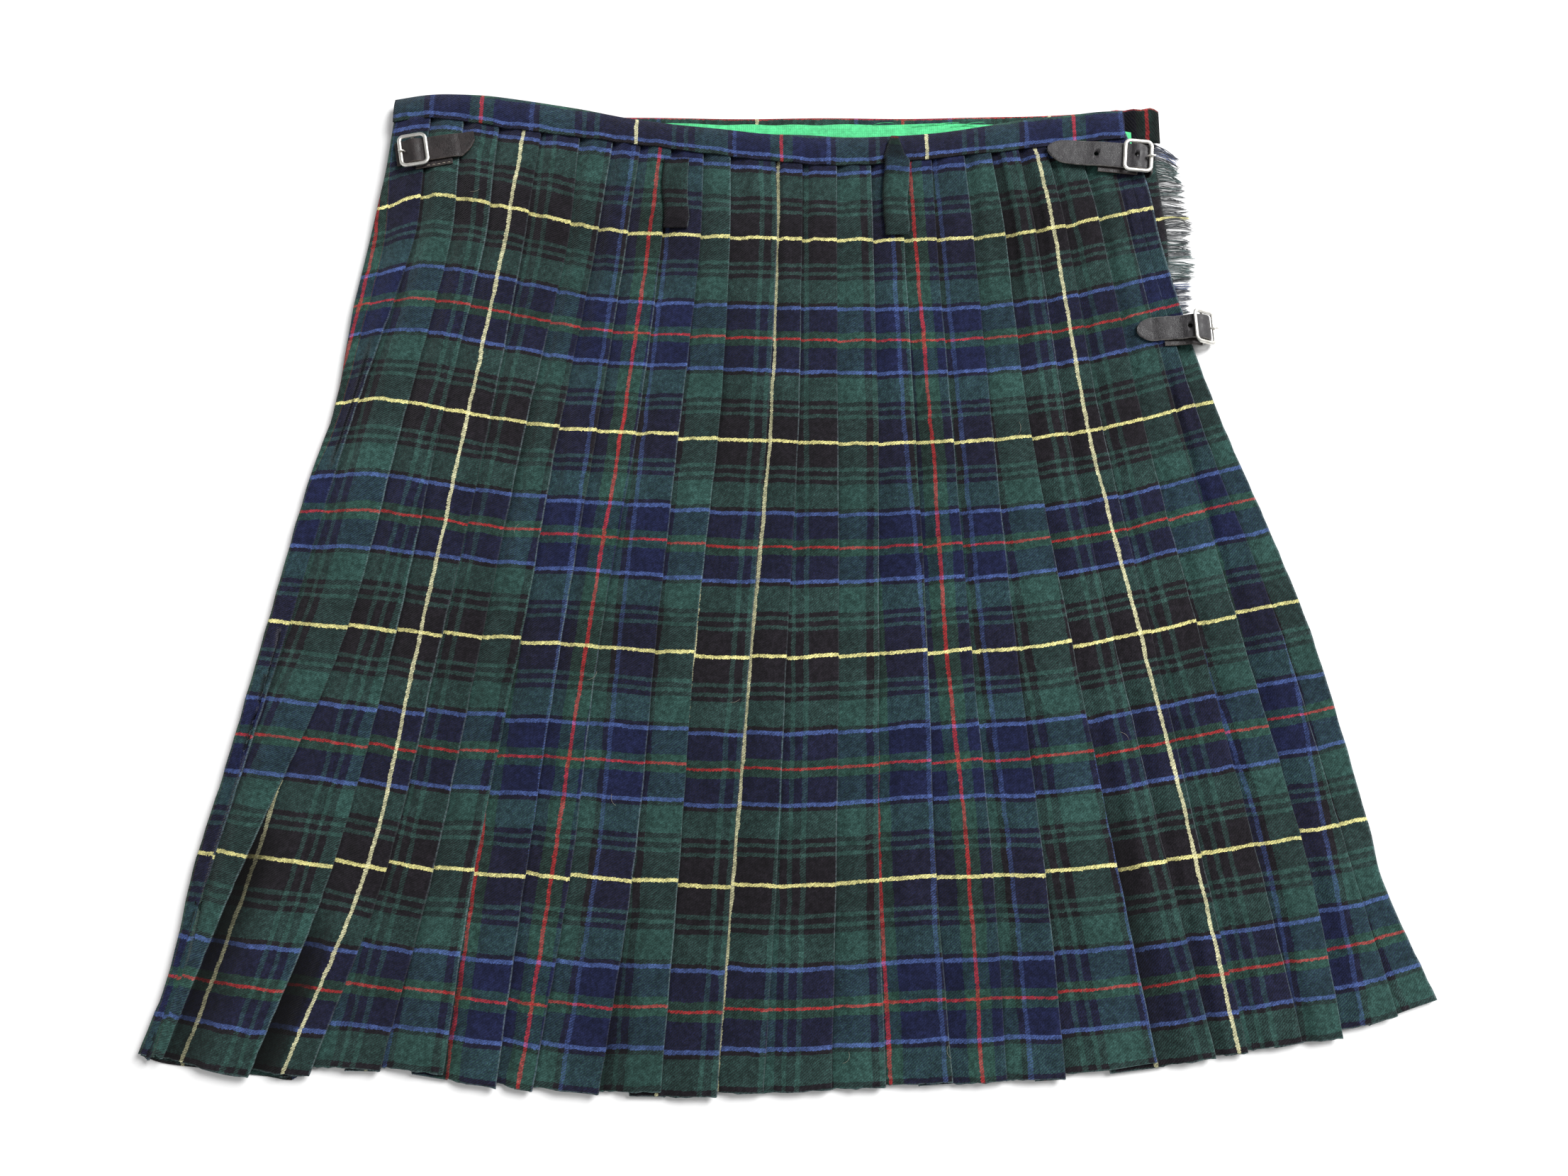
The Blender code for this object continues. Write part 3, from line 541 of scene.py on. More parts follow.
def shell(name, x, y, z, finish, **values):
    """Closed cloth wall round a grid of middle points, whose rows go down and columns right."""
    centre = np.stack(np.broadcast_arrays(x, y, z), axis=-1)
    normal = unit(np.cross(np.gradient(centre, axis=0), np.gradient(centre, axis=1)))
    upper = centre + normal * SHELL / 2
    lower = centre - normal * SHELL / 2
    rows, columns = centre.shape[:2]
    count = rows * columns
    grid = np.arange(count).reshape(rows, columns)
    a, b, c, d = grid[:-1, :-1], grid[:-1, 1:], grid[1:, 1:], grid[1:, :-1]
    top_side = np.stack([a, d, c, b], axis=-1).reshape(-1, 4)
    low_side = np.stack([a, b, c, d], axis=-1).reshape(-1, 4) + count
    rims = []
    for line, turned in ((grid[0], False), (grid[-1], True), (grid[:, 0], True),
                         (grid[:, -1], False)):
        near, far = line[:-1], line[1:]
        rim = np.stack([near, far, far + count, near + count], axis=-1)
        rims.append(rim[:, ::-1] if turned else rim)
    faces = np.vstack([top_side, low_side, *rims]).tolist()
    points = np.vstack([upper.reshape(-1, 3), lower.reshape(-1, 3)])
    both = {label: np.tile(np.broadcast_to(numbers, (rows, columns)).ravel(), 2)
            for label, numbers in values.items()}
    return piece_from(name, points, faces, finish, 2 * len(top_side), **both)


def tube_rings(path, radius, sides):
    """Rings of points round an open path, one for each of its points."""
    path = np.asarray(path, float)
    travel = unit(np.gradient(path, axis=0))
    sideways = np.cross(travel, (0.0, 0.0, 1.0))
    length = np.linalg.norm(sideways, axis=1, keepdims=True)
    sideways = np.where(length < 0.05, (0.0, 1.0, 0.0), sideways / np.maximum(length, 1e-9))
    upward = np.cross(sideways, travel)
    angles = circle(sides)[:, None]
    spokes = sideways[:, None] * np.cos(angles) + upward[:, None] * np.sin(angles)
    return path[:, None] + spokes * np.reshape(radius, (-1, 1, 1))


def ring_faces(rings, sides, closed, base=0):
    """Quads between rings, with a cap on each end of an open tube."""
    faces = []
    for ring in range(rings if closed else rings - 1):
        after = (ring + 1) % rings
        for side in range(sides):
            turn = (side + 1) % sides
            faces.append((base + ring * sides + side, base + after * sides + side,
                          base + after * sides + turn, base + ring * sides + turn))
    if not closed:
        faces.append(tuple(base + side for side in range(sides)))
        faces.append(tuple(base + (rings - 1) * sides + side for side in reversed(range(sides))))
    return faces


def tubes(name, paths, radius, sides, finish, **values):
    """One piece from many thin tapered tubes, with one value each for every label."""
    rings = []
    faces = []
    base = 0
    for path, full_radius in zip(paths, np.broadcast_to(radius, len(paths))):
        taper = np.full(len(path), full_radius)
        taper[-1] *= 0.45
        taper[0] *= 0.7
        rings.append(tube_rings(path, taper, sides).reshape(-1, 3))
        faces.extend(ring_faces(len(path), sides, False, base))
        base += len(rings[-1])
    counts = [len(ring) for ring in rings]
    labels = {label: np.repeat(numbers, counts) for label, numbers in values.items()}
    return piece_from(name, np.vstack(rings), faces, finish, **labels)


# Materials

def linear(display):
    """Linear colour of a display colour in 0 to 255."""
    shares = [value / 255 for value in display]
    return tuple(v / 12.92 if v <= 0.04045 else ((v + 0.055) / 1.055) ** 2.4 for v in shares)


def filled(value):
    """A socket as it is, or a colour with its alpha."""
    return value if isinstance(value, bpy.types.NodeSocket) else (*value, 1.0)


class Finish:
    """A material and short ways to add its nodes."""

    def __init__(self, name, **settings):
        self.material = bpy.data.materials.new(name)
        self.material.use_nodes = True
        self.tree = self.material.node_tree
        self.shader = self.tree.nodes["Principled BSDF"]
        for label, value in settings.items():
            self.put(label.replace("_", " "), value)

    def wire(self, socket, value):
        if isinstance(value, bpy.types.NodeSocket):
            self.tree.links.new(value, socket)
        else:
            socket.default_value = value

    def put(self, label, value):
        self.wire(self.shader.inputs[label], value)

    def node(self, kind, inputs, **settings):
        """New node, its inputs given by label or number as sockets or values."""
        made = self.tree.nodes.new(kind)
        for label, value in settings.items():
            setattr(made, label, value)
        for label, value in dict(inputs).items():
            self.wire(made.inputs[label], value)
        return made

    def attribute(self, label):
        return self.node("ShaderNodeAttribute", {}, attribute_name=label).outputs["Fac"]

    def place(self):
        return self.node("ShaderNodeTexCoord", {}).outputs["Object"]

    def math(self, operation, *values):
        return self.node("ShaderNodeMath", enumerate(values), operation=operation).outputs[0]

    def product(self, *values):
        return reduce(partial(self.math, "MULTIPLY"), values)

    def total(self, *values):
        return reduce(partial(self.math, "ADD"), values)

    def noise(self, scale, detail=2.0, output="Fac"):
        inputs = {"Vector": self.place(), "Scale": scale, "Detail": detail}
        return self.node("ShaderNodeTexNoise", inputs).outputs[output]

    def centred(self, noise, width):
        """A noise of 0 to 1 as one of this width about 0."""
        return self.math("MULTIPLY_ADD", noise, width, -width / 2)

    def span(self, value, low, high, to_low, to_high):
        """Value with low to high spread smoothly over to_low to to_high, held beyond them."""
        inputs = {"Value": value, "From Min": low, "From Max": high, "To Min": to_low,
                  "To Max": to_high}
        made = self.node("ShaderNodeMapRange", inputs, interpolation_type="SMOOTHSTEP")
        return made.outputs["Result"]

    def mix(self, share, first, second, blend="MIX"):
        inputs = {0: share, 6: filled(first), 7: filled(second)}
        return self.node("ShaderNodeMix", inputs, data_type="RGBA", blend_type=blend).outputs[2]

    def toned(self, colour, tone):
        """Colour times a number."""
        grey = self.node("ShaderNodeCombineColor", enumerate([tone] * 3)).outputs[0]
        return self.mix(1.0, colour, grey, "MULTIPLY")

    def stripes(self, distance, direction):
        """Colour of the yarn at a distance along the sett, across the kilt or down it."""
        half_repeat = getattr(HALF_SETT[-1], direction)
        share = self.math("DIVIDE", self.math("PINGPONG", distance, half_repeat), half_repeat)
        ramp = self.node("ShaderNodeValToRGB", {"Fac": share})
        ramp.color_ramp.interpolation = "CONSTANT"
        stops = ramp.color_ramp.elements
        duller = WARP_YARNS if direction == "across" else {}
        start = 0.0
        for number, stripe in enumerate(HALF_SETT):
            stop = stops[number] if number < len(stops) else stops.new(start)
            stop.position = start
            stop.color = filled(linear(YARNS[duller.get(stripe.yarn, stripe.yarn)]))
            start = getattr(stripe, direction) / half_repeat
        return ramp.outputs["Color"]

    def bump(self, height, strength, distance):
        inputs = {"Height": height, "Strength": strength, "Distance": distance}
        self.put("Normal", self.node("ShaderNodeBump", inputs).outputs["Normal"])


def wool_variation(finish, colour, fine, strength):
    """Heathered wool: fine light and dark fibres, and slow changes of tone."""
    def tone(noise, low, high, reach):
        return finish.span(noise, low, high, 1.0 - reach, 1.0 + reach)

    slow = tone(finish.noise(7.0, 3.0), 0.3, 0.7, strength / 2)
    cloud = tone(finish.noise(85.0), 0.3, 0.7, strength / 2)
    felt = tone(finish.noise(300.0), 0.3, 0.7, strength)
    fibres = tone(fine, 0.25, 0.75, strength)
    return finish.toned(colour, finish.product(slow, cloud, felt, fibres))


def tartan_finish():
    """Woven tartan: warp and weft stripes crossed in a 2/2 twill, with a brushed nap, painted shade and
    painted highlight.
    """
    wool = Finish("tartan wool twill", Roughness=0.94, Sheen_Weight=0.09, Sheen_Roughness=0.5,
                  Specular_IOR_Level=0.12)
    across = wool.attribute("cloth_s")
    down = wool.attribute("cloth_t")
    fine = wool.noise(1500.0)
    nap = wool.noise(640.0, 3.0)
    loose = wool.total(wool.centred(wool.noise(60.0, 3.0), 2.6), wool.centred(nap, 1.5),
                       wool.centred(fine, 1.1))
    warp = wool.stripes(wool.total(across, loose), "across")
    weft = wool.stripes(wool.math("SUBTRACT", down, loose), "down")
    angle = math.radians(TWILL_HEADING)
    turns = wool.total(wool.product(across, math.sin(angle) / TWILL_SPACING),
                       wool.product(down, math.cos(angle) / TWILL_SPACING),
                       wool.centred(nap, 1.3))
    phase = wool.product(turns, 2 * math.pi)
    floats = wool.total(wool.math("SINE", phase), wool.centred(fine, 2.0))
    share = wool.span(floats, -0.7, 0.7, 0.33, 0.79)
    brighter = wool.mix(1.0, warp, weft, "LIGHTEN")
    light = wool.node("ShaderNodeRGBToBW", {0: brighter}).outputs[0]
    raised = wool.span(light, 0.085, 0.11, 0.0, 0.38)
    crossed = wool.mix(raised, wool.mix(share, warp, weft), brighter)
    # Painted shade in the twill's grooves: the colour darkens along them
    painted_groove_shade = wool.span(wool.math("COSINE", phase), -1.0, 0.5, 0.78, 1.08)
    toned = wool.toned(crossed, wool.product(painted_groove_shade, wool.span(nap, 0.3, 0.7, 0.8, 1.2)))
    # Painted light from a point attribute: below zero the colour darkens as painted shade in valleys; above
    # zero a pale colour is mixed in, a painted highlight on fold crests with nap worn pale there, and the
    # frayed hem's paler threads
    rub = wool.attribute("rub")
    highlight_and_wear_share = wool.product(wool.span(rub, 0.0, 1.0, 0.0, 0.75), wool.span(nap, 0.35, 0.6, 0.2, 1.0))
    rubbed = wool.mix(highlight_and_wear_share, wool_variation(wool, toned, fine, 0.26), linear(PALE_HIGHLIGHT_AND_WEAR))
    wool.put("Base Color", wool.toned(rubbed, wool.span(rub, -1.0, 0.0, 0.06, 1.0)))
    height = wool.total(wool.math("COSINE", phase), wool.product(wool.noise(2600.0, 3.0), 1.8))
    wool.bump(height, 0.55, 0.0003)
    return wool.material


def fringe_finish():
    """Loose weft yarns in the colours of the sett, mixed towards pale grey as a painted highlight."""
    yarn = Finish("wool yarn", Roughness=0.9, Sheen_Weight=0.2, Sheen_Roughness=0.5,
                  Specular_IOR_Level=0.15)
    fine = yarn.noise(1800.0)
    highlighted_yarn = yarn.mix(0.3, yarn.stripes(yarn.attribute("cloth_t"), "down"), linear(YARN_HIGHLIGHT))
    yarn.put("Base Color", wool_variation(yarn, highlighted_yarn, fine, 0.3))
    yarn.bump(fine, 0.5, 0.0002)
    return yarn.material


def lining_finish():
    """Plain woven green lining with a slight sheen."""
    green = Finish("green lining cloth", Roughness=0.7, Sheen_Weight=0.12, Specular_IOR_Level=0.3)
    waves = [green.node("ShaderNodeTexWave", {"Scale": 420.0, "Vector": green.place()},
                        wave_type="BANDS", bands_direction=direction).outputs["Fac"]
             for direction in "XY"]
    threads = green.product(*waves)
    shade = green.mix(green.span(threads, 0.0, 0.8, 0.0, 1.0), linear(LINING_DARK),
                      linear(LINING_LIGHT))
    green.put("Base Color", wool_variation(green, shade, green.noise(900.0), 0.12))
    green.bump(threads, 0.25, 0.00015)
    return green.material


def leather_finish(name, dark, light, edge):
    """Strap leather with pebbled grain, fine creases and paler worn edges."""
    hide = Finish(name, Roughness=0.52, Specular_IOR_Level=0.45, Coat_Weight=0.06,
                  Coat_Roughness=0.35)
    warped = hide.node("ShaderNodeVectorMath", {0: hide.noise(900.0, 2.0, "Color"),
                                                1: (0.0006, 0.0006, 0.0006), 2: hide.place()},
                       operation="MULTIPLY_ADD").outputs[0]
    cells = hide.node("ShaderNodeTexVoronoi", {"Vector": warped, "Scale": 1250.0,
                                               "Randomness": 1.0}, feature="DISTANCE_TO_EDGE")
    grain = hide.span(cells.outputs["Distance"], 0.0, 0.25, 0.0, 1.0)
    creases = hide.span(hide.noise(190.0, 5.0), 0.42, 0.6, 0.0, 1.0)
    tone = hide.product(hide.math("MULTIPLY_ADD", grain, 0.6, 0.2),
                        hide.math("MULTIPLY_ADD", creases, 0.7, 0.3))
    worn = hide.product(hide.attribute("wear"),
                        hide.span(hide.noise(260.0, 3.0), 0.35, 0.65, 0.3, 1.0))
    hide.put("Base Color", hide.mix(worn, hide.mix(tone, linear(dark), linear(light)), linear(edge)))
    hide.put("Roughness", hide.span(creases, 0.0, 1.0, 0.46, 0.62))
    hide.bump(hide.math("MULTIPLY_ADD", creases, 0.9, hide.product(grain, 0.5)), 0.4, 0.00035)
    return hide.material


def nickel_finish():
    """Nickel plate with fine scratches and a little tarnish."""
    nickel = Finish("nickel plate", Roughness=0.4, Metallic=1.0)
    tarnish = nickel.span(nickel.noise(160.0, 4.0), 0.45, 0.75, 0.0, 0.5)
    nickel.put("Base Color", nickel.mix(tarnish, linear(NICKEL), linear(TARNISH)))
    scratches = nickel.noise(2400.0, 1.0)
    nickel.put("Roughness", nickel.span(scratches, 0.3, 0.7, 0.32, 0.5))
    nickel.bump(scratches, 0.08, 0.0001)
    return nickel.material


def thread_finish(name, display):
    """Spun thread, mottled down to four fifths of its colour."""
    thread = Finish(name, Roughness=0.75, Sheen_Weight=0.1)
    fine = thread.noise(2200.0, 1.0)
    thread.put("Base Color", thread.mix(thread.span(fine, 0.3, 0.7, 0.0, 1.0), linear(display),
                                        linear([value * 0.8 for value in display])))
    thread.bump(fine, 0.3, 0.0001)
    return thread.material


def floor_finish():
    """White floor with faint clouds."""
    white = Finish("white floor", Roughness=0.85, Specular_IOR_Level=0.1)
    cloud = white.span(white.noise(2.0), 0.3, 0.7, 0.0, 1.0)
    white.put("Base Color", white.mix(cloud, (0.95, 0.95, 0.95), (0.97, 0.97, 0.97)))
    return white.material


# Cloth pieces

def fold_relief(y):
    """Lift, width and depth of painted shade, and paleness of the crest of each fold at heights y, a painted
    highlight with nap worn pale.
    """
    number = np.arange(len(FOLDS))[:, None]
    lifts = np.zeros_like(y)
    widths = np.full_like(y, SHADE_WIDTH)
    depths = SHADE_DEPTH * (0.65 + 0.35 * np.sin(2.4 * number + y / 45.0))
    crest_highlights_and_wear = CREST_HIGHLIGHT_AND_WEAR * (0.6 + 0.4 * np.sin(1.7 * number + 1.0 + y / 38.0))
    for fold, low, high, lift in RAISED_FOLDS:
        lifts[fold] = lift * between(low, high, (high - low) / 3, y[fold])
    for fold, low, high, width, depth in SHADES:
        share = between(low, high, (high - low) / 4, y[fold])
        widths[fold] += (width - SHADE_WIDTH) * share
        depths[fold] += (depth - SHADE_DEPTH) * share
    return lifts, widths, depths, crest_highlights_and_wear


def pleat_columns(downs):
    """Columns of the back's cross-section, each (x, height, sett, shift, face, and a value that is painted
    shade below zero and painted highlight with worn nap above it) over the rows.
    """
    bed = bed_height(downs)
    low = bed + CLOTH / 2
    middle = low + PITCH
    top = middle + PITCH
    turn = PITCH / 2
    left = meet(downs, partial(curve, LEFT_OUTLINE), LEFT_OUTLINE[0][1])
    right = meet(downs, partial(curve, RIGHT_OUTLINE), RIGHT_OUTLINE[0][1])
    edges = [meet(downs, partial(fold_x, fold), fold.hip) for fold in FOLDS]
    heights = np.array([weft_y(downs, edge) for edge in edges])
    setts = [by_height(SETT_HEIGHTS, row, y) for row, y in zip(FOLD_SETTS, heights)]
    shifts = [by_height(STEP_HEIGHTS, row, y) * smooth(*SHIFT_FADE, y)
              for row, y in zip(FOLD_SHIFTS, heights)]
    lifts, shade_widths, shade_depths, crest_highlights_and_wear = fold_relief(heights)
    rim_level = smooth(*RIM_RISE, heights[-1])
    rim = np.where(heights[-1] > RIM_JOIN, setts[-1] + right - edges[-1], RIM_SETT)
    next_edges = [*edges[1:], right]
    next_setts = [*setts[1:], rim]
    columns = []
    flat = np.zeros(len(downs))

    def add(x, z, sett, shift=0.0, face=0.0, rub=0.0):
        columns.append([value + flat for value in (x, z, sett, shift, face, rub)])

    wall = left + SHELL / 2
    left_foot = PITCH + (HIGH_BED - PITCH) * (bed - LOW_BED) / (HIGH_BED - LOW_BED)
    pleat_edge = meet(downs, partial(curve, LEFT_PLEAT), LEFT_PLEAT[0][1])
    pleat_edge = np.maximum(pleat_edge, wall + LEFT_PLEAT_ROOM)
    drop = LEFT_PLEAT_DROP * smooth(LEFT_PLEAT_ROOM, 5.0, pleat_edge - wall)
    for share in (0.0, 0.35, 0.7):
        z = left_foot + (top - SIDE_RADIUS - left_foot) * share
        add(wall, z, LEFT_PLEAT_SETT - (pleat_edge - left) - (top - z))
    for _, x, z in arc(wall + SIDE_RADIUS, top - SIDE_RADIUS, SIDE_RADIUS, (160, 130, 100)):
        add(x, z, LEFT_PLEAT_SETT - (pleat_edge - x) - (top - z))
    add(pleat_edge - 0.05, top, LEFT_PLEAT_SETT - 0.05)
    for reach, share in ((0.3, 0.35), (0.5, 1.0), (1.5, 1.0), (4.5, 0.7), (8.5, 0.2)):
        x = pleat_edge + reach
        add(x, top - drop * share, setts[0] - (edges[0] - x), face=0.2)

    before = left
    for number, edge in enumerate(edges):
        sett = setts[number]
        reveal = edge - before
        depth = np.minimum(FOLD_DEPTH_SHARE * reveal, reveal - FOLD_RISE_ROOM)
        shift_left = shifts[number - 1] / 2 if number else flat
        shift_right = -shifts[number] / 2

        def shift_at(x, before=before, reveal=reveal, near=shift_left, far=shift_right):
            share = np.clip((x - before) / reveal, 0.0, 1.0)
            return near + (far - near) * share

        flat_start = edge - depth - FOLD_LEAD
        if number:
            start = before + FOLD_STEP
            width = shade_widths[number - 1]
            held = np.clip((width - SHADE_WIDTH) / (flat_start - start), 0.0, 0.55)
            lag = np.maximum(0.3 * lifts[number - 1], held)
            filled_step = RIM_FILL * smooth(*RIM_FILL_RISE, heights[number]) * (number == len(edges) - 1)
            for share in (0.0, 0.08, 0.18, 0.34, 0.56, 0.78, 1.0):
                x = start + (flat_start - start) * share
                # Painted shade in the valley right of the fold before
                shaded = -shade_depths[number - 1] * bell(x, before, width)
                late = np.clip((share - lag) / (1 - lag), 0.0, 1.0)
                z = low + (top - low) * (0.25 * late + 0.75 * smooth(0.0, 1.0, late))
                z = z + (top - z) * filled_step
                add(x, z, sett - (edge - x), shift_at(x), min(1.0, 1.6 * share), shaded)
        for share in ((0.25, 0.5, 0.75) if number else (0.6,)):
            x = flat_start + (edge - flat_start) * share
            add(x, top + lifts[number] * share, sett - (edge - x), shift_at(x), 1.0 - share)
        for angle, x, z in arc(edge - turn, top - turn, turn, (90, 54, 18, -18, -54, -90)):
            # Paler colour on the fold's crest: painted highlight with worn nap
            pale = crest_highlights_and_wear[number] if -20 < angle < 60 else 0.0
            add(x, z + lifts[number], sett - turn + turn * math.radians(90 - angle), shift_right,
                0.0, pale)
        sett_after_turn = sett - turn + turn * math.pi
        for angle, x, z in arc(edge - depth + turn, middle - turn, turn, (90, 150, 210, 270)):
            if angle < 180:
                add(x, z, sett_after_turn + (edge - x), shift_right)
            else:
                add(x, z, next_setts[number] - (next_edges[number] - x), -shift_right)
        before = edge

    start = before + FOLD_STEP * (1 - 0.8 * rim_level)
    end = right - SHELL / 2
    rim_top = low + (top - low) * rim_level
    for share in (0.0, 0.3, 0.6, 1.0):
        x = start + (end - 1.6 - start) * share
        # Painted shade right of the last fold, fading as the rim rises
        shaded = -SHADE_DEPTH * (1 - rim_level) * bell(x, before, SHADE_WIDTH)
        z = rim_top + 0.5 * share * (1 - rim_level) - 0.2 * rim_level * (1 - share)
        add(x, z, rim - (right - x), shifts[-1] / 2, 0.0, shaded)
    # The rim's rounded edge is paled: painted highlight with worn nap
    for angle, x, rise in arc(end - 1.0, 0.0, 1.0, (60, 20, -20)):
        add(x, rim_top - 0.3 + 0.8 * rise, rim + math.radians(90 - angle), shifts[-1] / 2, 0.0, CREST_HIGHLIGHT_AND_WEAR)
    add(end, bed - 0.3, rim + 3.0, shifts[-1] / 2)
    return columns


def puckers(x, y):
    """0 to 1: small upright gathers of the pleats under the waistband."""
    return (0.5 + 0.25 * wave(x, 1.9, 2.2, 13.0, y / 34.0)
            + 0.25 * wave(x, 3.4, 1.7, 29.0, -y / 51.0))


def back_cloth(finish):
    """The pleated back, from under the waistband's seam to the hem."""
    downs = np.append(np.linspace(TUCKED_DOWN, HEM_DOWN - 0.9, BACK_ROWS), HEM_DOWN)
    x, z, s, shift, face, rub = np.array(pleat_columns(downs)).transpose(1, 2, 0)
    rub[-1] = np.maximum(rub[-1], HEM_RUB)
    t = downs[:, None]
    y = weft_y(t, x) + shift
    y[-1] += 0.3 * np.sin(1.9 * x[-1]) + 0.25 * np.sin(0.83 * x[-1] + 1.0)
    under_hip_strap = smooth(205, 222, x) * smooth(270, 285, y)
    calm = smooth(*CALM_FADE, y) * (1 - under_hip_strap)
    z = z + crease_height(BACK_CREASES, x, y) * calm
    z = z + 0.14 * calm * (1 + np.sin(x / 23.0 + y / 61.0) * np.sin(y / 47.0 - x / 90.0))
    gathered = smooth(*GATHER_FADE, y)
    free = np.prod([1 - np.exp(-((x - spec.x) / 13.0) ** 4) for spec in LOOPS], axis=0)
    gather = puckers(x, y)
    z = z + 0.6 * (1 - gather) * face * gathered * free - gather * (0.2 + 0.42 * face) * gathered
    ribs = 0.5 + 0.5 * wave(x, 3.1, start=y / 43.0)
    z = z - 0.3 * face * (1 - gathered) * ribs * (x > -270)
    x = x + 0.3 * calm * np.sin(y / 17.0 + 1.3 * np.sin(x / 19.0)) * np.sin(y / 53.0 + x)
    return shell("back_cloth", x, y, z, finish, cloth_s=s, cloth_t=t, rub=rub)


def panel_grid(left, right, top, hem, grid):
    """Grid of X and Y between two side courses and two crosswise courses."""
    rows, columns = grid
    share_down = np.linspace(0, 1, rows)[:, None]
    share_across = np.linspace(0, 1, columns)[None, :]
    y = top(np.zeros((rows, columns))) * (1 - share_down) + hem(np.zeros((rows, columns))) * share_down
    for _ in range(8):
        x = left(y) + (right(y) - left(y)) * share_across
        y = top(x) + (hem(x) - top(x)) * share_down
    return x, y


def apron(name, left, right, hem, base, finish):
    """Flat panel between two side courses, from under the front band to its hem."""
    x, y = panel_grid(left, right, lambda x: curve(FRONT_BAND_TOP, x) - APRON_TUCK, hem, APRON_GRID)
    z = base + SHELL / 2 + np.minimum(crease_height(FRONT_CREASES, x, y), 0.45)
    return shell(name, x, y, z, finish, cloth_s=x + APRON_SETT_SHIFT,
                 cloth_t=down_at(x, y) + APRON_DOWN_SHIFT)


def over_apron(finish):
    return apron("over_apron_cloth", partial(curve, LEFT_OUTLINE), partial(curve, OVER_APRON_EDGE),
                 partial(curve, OVER_APRON_HEM), 0.0, finish)


def under_apron(finish):
    return apron("under_apron_cloth", partial(curve, UNDER_APRON_EDGE), partial(curve, RIGHT_OUTLINE),
                 lambda x: weft_y(HEM_DOWN, x) + UNDER_APRON_TUCK, UNDER_APRON_BASE, finish)


def seam_height(x):
    """Height of the pleats' upper side along the waistband's seam, smoothed."""
    places, heights = np.array(pleat_columns(np.array([SEAM_DOWN])))[:, :2, 0].T
    highest = [heights[np.abs(places - at) < 2.6].max(initial=LOW_BED) for at in x]
    return averaged(highest, 5)


def waistband_back(finish):
    """Band along the top of the pleats; its top edge turns down to the lining."""
    x = np.linspace(*BACK_BAND_ENDS, BACK_BAND_COLUMNS)[None, :]
    profile = rounded(BACK_BAND_PROFILE)
    share = profile[:, :1]
    seam = weft_y(SEAM_DOWN, x) + 0.35 * wave(x, 4.1) * wave(x, 11.0)
    top = curve(BACK_BAND_TOP, x) - CLOTH / 2 + 0.4 * wave(x, 15.0, 2.0, 37.0)
    rise = (top - seam) * share
    under = seam_height(x[0])[None, :] + CLOTH / 2 + SHELL / 2 + 0.1
    sunk = np.clip(BAND_TOP - CLOTH / 2 - under, 0.0, 1.6) * (1 - smooth(0.0, 0.42, share))
    ripple = 0.3 * wave(x, 4.6, 1.8, 17.0) * share * (1 - share) * 4
    z = profile[:, 1:] - sunk + np.minimum(ripple, 0.12)
    return shell("waistband_back_cloth", x, seam + rise, z, finish,
                 cloth_s=curve(BACK_BAND_SETT, x), cloth_t=BACK_BAND_DOWN_AT_SEAM - rise)


def waistband_front(finish):
    """Band of the aprons, seen past the top edge and the right end of the back."""
    join = FRONT_BAND_JOIN
    x = np.linspace(*FRONT_BAND_ENDS, 180)
    x = np.sort(np.append(x, (join - 0.02, join + 0.02)))[None, :]
    share = np.sort(np.append(np.linspace(0, 1, 12), (0.049, 0.051)))[:, None]
    slope = 2.2 * np.clip((x - 247.0) / 6.0, 0.0, 1.0) ** 2
    fall = (FRONT_BAND_HEIGHT - slope) * share
    y = curve(FRONT_BAND_TOP, x) + 0.3 * wave(x, 17.0) - slope - fall
    end = smooth(join, join + 8, x)
    roll = 1.5 * end * (0.5 + 0.5 * np.cos((x - 247.5) / 1.9)) * (1 - smooth(250.5, 253.0, x))
    z = FRONT_BAND_BASE + CLOTH / 2 + roll - 0.5 * bell(share, 0.0, 0.06)
    s = np.where(x > join, x - FRONT_BAND_LINE + REPEAT_ACROSS / 2, x + 18.0)
    end_t = np.where(share < 0.05, -69.0, -2.0 - 0.5 * fall)
    t = np.where(x > join, end_t, fall - 69.5)
    # Painted shade over the band's right end past the join, less on its red line and along its top edge
    rub = (-0.78 * end * (1 - 0.75 * bell(x, FRONT_BAND_LINE, 2.6))
           * (1 - 0.6 * bell(share, 0.0, 0.05)))
    return shell("waistband_front_cloth", x, y, z, finish, cloth_s=s, cloth_t=t, rub=rub)


def lining(finish):
    """Plain strip between the two bands, faintly rippled."""
    x = np.linspace(*LINING_ENDS, 140)[None, :]
    share = np.linspace(0, 1, 14)[:, None]
    top = curve(LINING_TOP, x) + 0.35 * wave(x, 7.0, 2.0, 29.0)
    y = top + (LINING_FOOT - top) * share
    z = LINING_BASE + CLOTH / 2 + 0.14 * wave(x, 9.0) * wave(y, 6.0)
    return shell("lining_cloth", x, y, z, finish)


def top_surface(x, y):
    """Height of the back's upper side: pleats below the seam, waistband above it."""
    on_band = y > weft_y(SEAM_DOWN, x) - CLOTH
    return np.where(on_band, BAND_TOP, bed_height(down_at(x, y)) + PLEAT_STACK)


